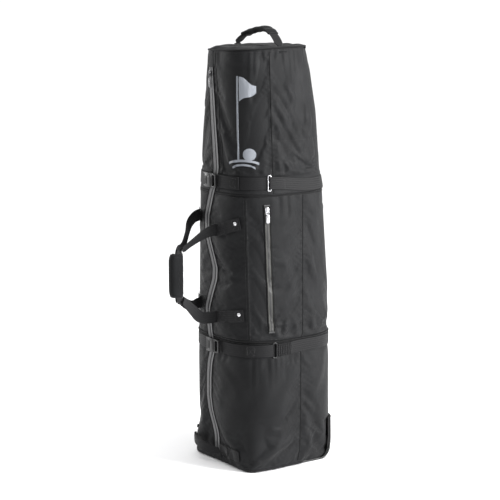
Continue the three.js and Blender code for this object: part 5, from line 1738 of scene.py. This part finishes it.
def add_wheel_base_rim():
    """The thick rolled edge of the moulded wheel base: along the floor, up both sides and across the back."""
    half = 0.150
    xs = np.linspace(-half, half, 41)

    def wall(x, z):
        widest, _, back, n = section(z)
        return back * (1 - np.abs(x / widest) ** n) ** (1 / n)

    edge = float(wall(half, 0.040)) - 0.040
    floor_run = [(y, 0.0032) for y in np.linspace(-0.028, edge, 12)]
    angles = np.linspace(0.15, math.pi / 2, 9)
    turn = [(edge + 0.0425 * math.sin(angle), 0.040 - 0.0395 * math.cos(angle)) for angle in angles]
    rise = [(float(wall(half, z)) + 0.0025, z) for z in np.linspace(0.048, 0.129, 12)]
    side = floor_run + turn + rise
    right = [(half, y, max(z, 0.0032)) for y, z in side]
    across = [(x, float(wall(x, 0.131)) + 0.0025, 0.131) for x in xs[::-1][1:-1]]
    left = [(-x, y, z) for x, y, z in right[::-1]]
    parts = tube_mesh(resampled(right + across + left, 230), 0.0036, 10)
    piece("wheel_base_rim", parts, RIM, "case")


# ---------- studio ----------
FLOOR_RADIUS = 90


def add_stage():
    """A pale floor that reaches to the horizon."""
    finish = Finish("paper", (0.90, 0.90, 0.905), 0.85)
    finish.mottle(0.6, 0.99, 1.01)
    rim = np.column_stack([circle(64, FLOOR_RADIUS), np.zeros(64)])
    faces = [[64, j, (j + 1) % 64] for j in range(64)]
    mesh = raw_mesh("floor", np.vstack([rim, [0, 0, 0]]), faces)
    mesh.materials.append(finish.material)
    floor = bpy.data.objects.new("floor", mesh)
    bpy.context.scene.collection.objects.link(floor)


def add_light(name, place, aim, size, power):
    """A soft rectangular lamp aimed at a point."""
    data = bpy.data.lights.new(name, "AREA")
    data.shape = "RECTANGLE"
    data.size, data.size_y = size
    data.spread = math.radians(110)
    data.energy = power
    lamp = bpy.data.objects.new(name, data)
    bpy.context.scene.collection.objects.link(lamp)
    lamp.location = place
    lamp.rotation_mode = "QUATERNION"
    lamp.rotation_quaternion = (Vector(aim) - Vector(place)).to_track_quat("-Z", "Y")


def add_lights():
    """A key light behind on the pocket side, a faint one opposite, soft light from above and from all round."""
    world = bpy.data.worlds.new("studio")
    world.use_nodes = True
    world.node_tree.nodes["Background"].inputs["Color"].default_value = (1, 1, 1, 1)
    world.node_tree.nodes["Background"].inputs["Strength"].default_value = 0.8
    bpy.context.scene.world = world
    bpy.context.scene.view_settings.view_transform = "Standard"
    add_light("key", (4.0, 2.6, 2.2), (0, 0, 0.85), (1.5, 2.4), 235)
    add_light("kicker", (-4.0, -1.6, 1.6), (0, 0, 0.7), (1.2, 2.0), 22)
    data = bpy.data.lights.new("overhead", "SUN")
    data.energy = 1.3
    data.angle = math.radians(60)
    sun = bpy.data.objects.new("overhead", data)
    bpy.context.scene.collection.objects.link(sun)
    sun.location = (0, 0, 4)


def add_camera():
    """A long lens that looks at the front and the pocket side from a little above."""
    data = bpy.data.cameras.new("camera")
    data.lens = 129
    data.sensor_width = 36
    data.shift_x = -0.027
    data.shift_y = 0.0052
    data.clip_start, data.clip_end = 0.1, 100
    data.dof.use_dof = False
    camera = bpy.data.objects.new("camera", data)
    bpy.context.scene.collection.objects.link(camera)
    place = Vector((4.505, -3.155, 1.63))
    camera.location = place
    camera.rotation_mode = "QUATERNION"
    camera.rotation_quaternion = (Vector((0, 0, 0.65)) - place).to_track_quat("-Z", "Y")
    bpy.context.scene.camera = camera


add_panels()
add_zip_guards()
add_top()
add_seams()
add_piping()
add_main_zip()
add_pocket_zip()
add_sliders()
add_straps()
add_buckles()
add_carry_handles()
add_top_handle()
add_bottom_handle()
add_handle_patches()
add_corner_tabs()
add_emblem()
finish_kept_nodes()
add_wheel_base_rim()
add_stage()
add_lights()
add_camera()
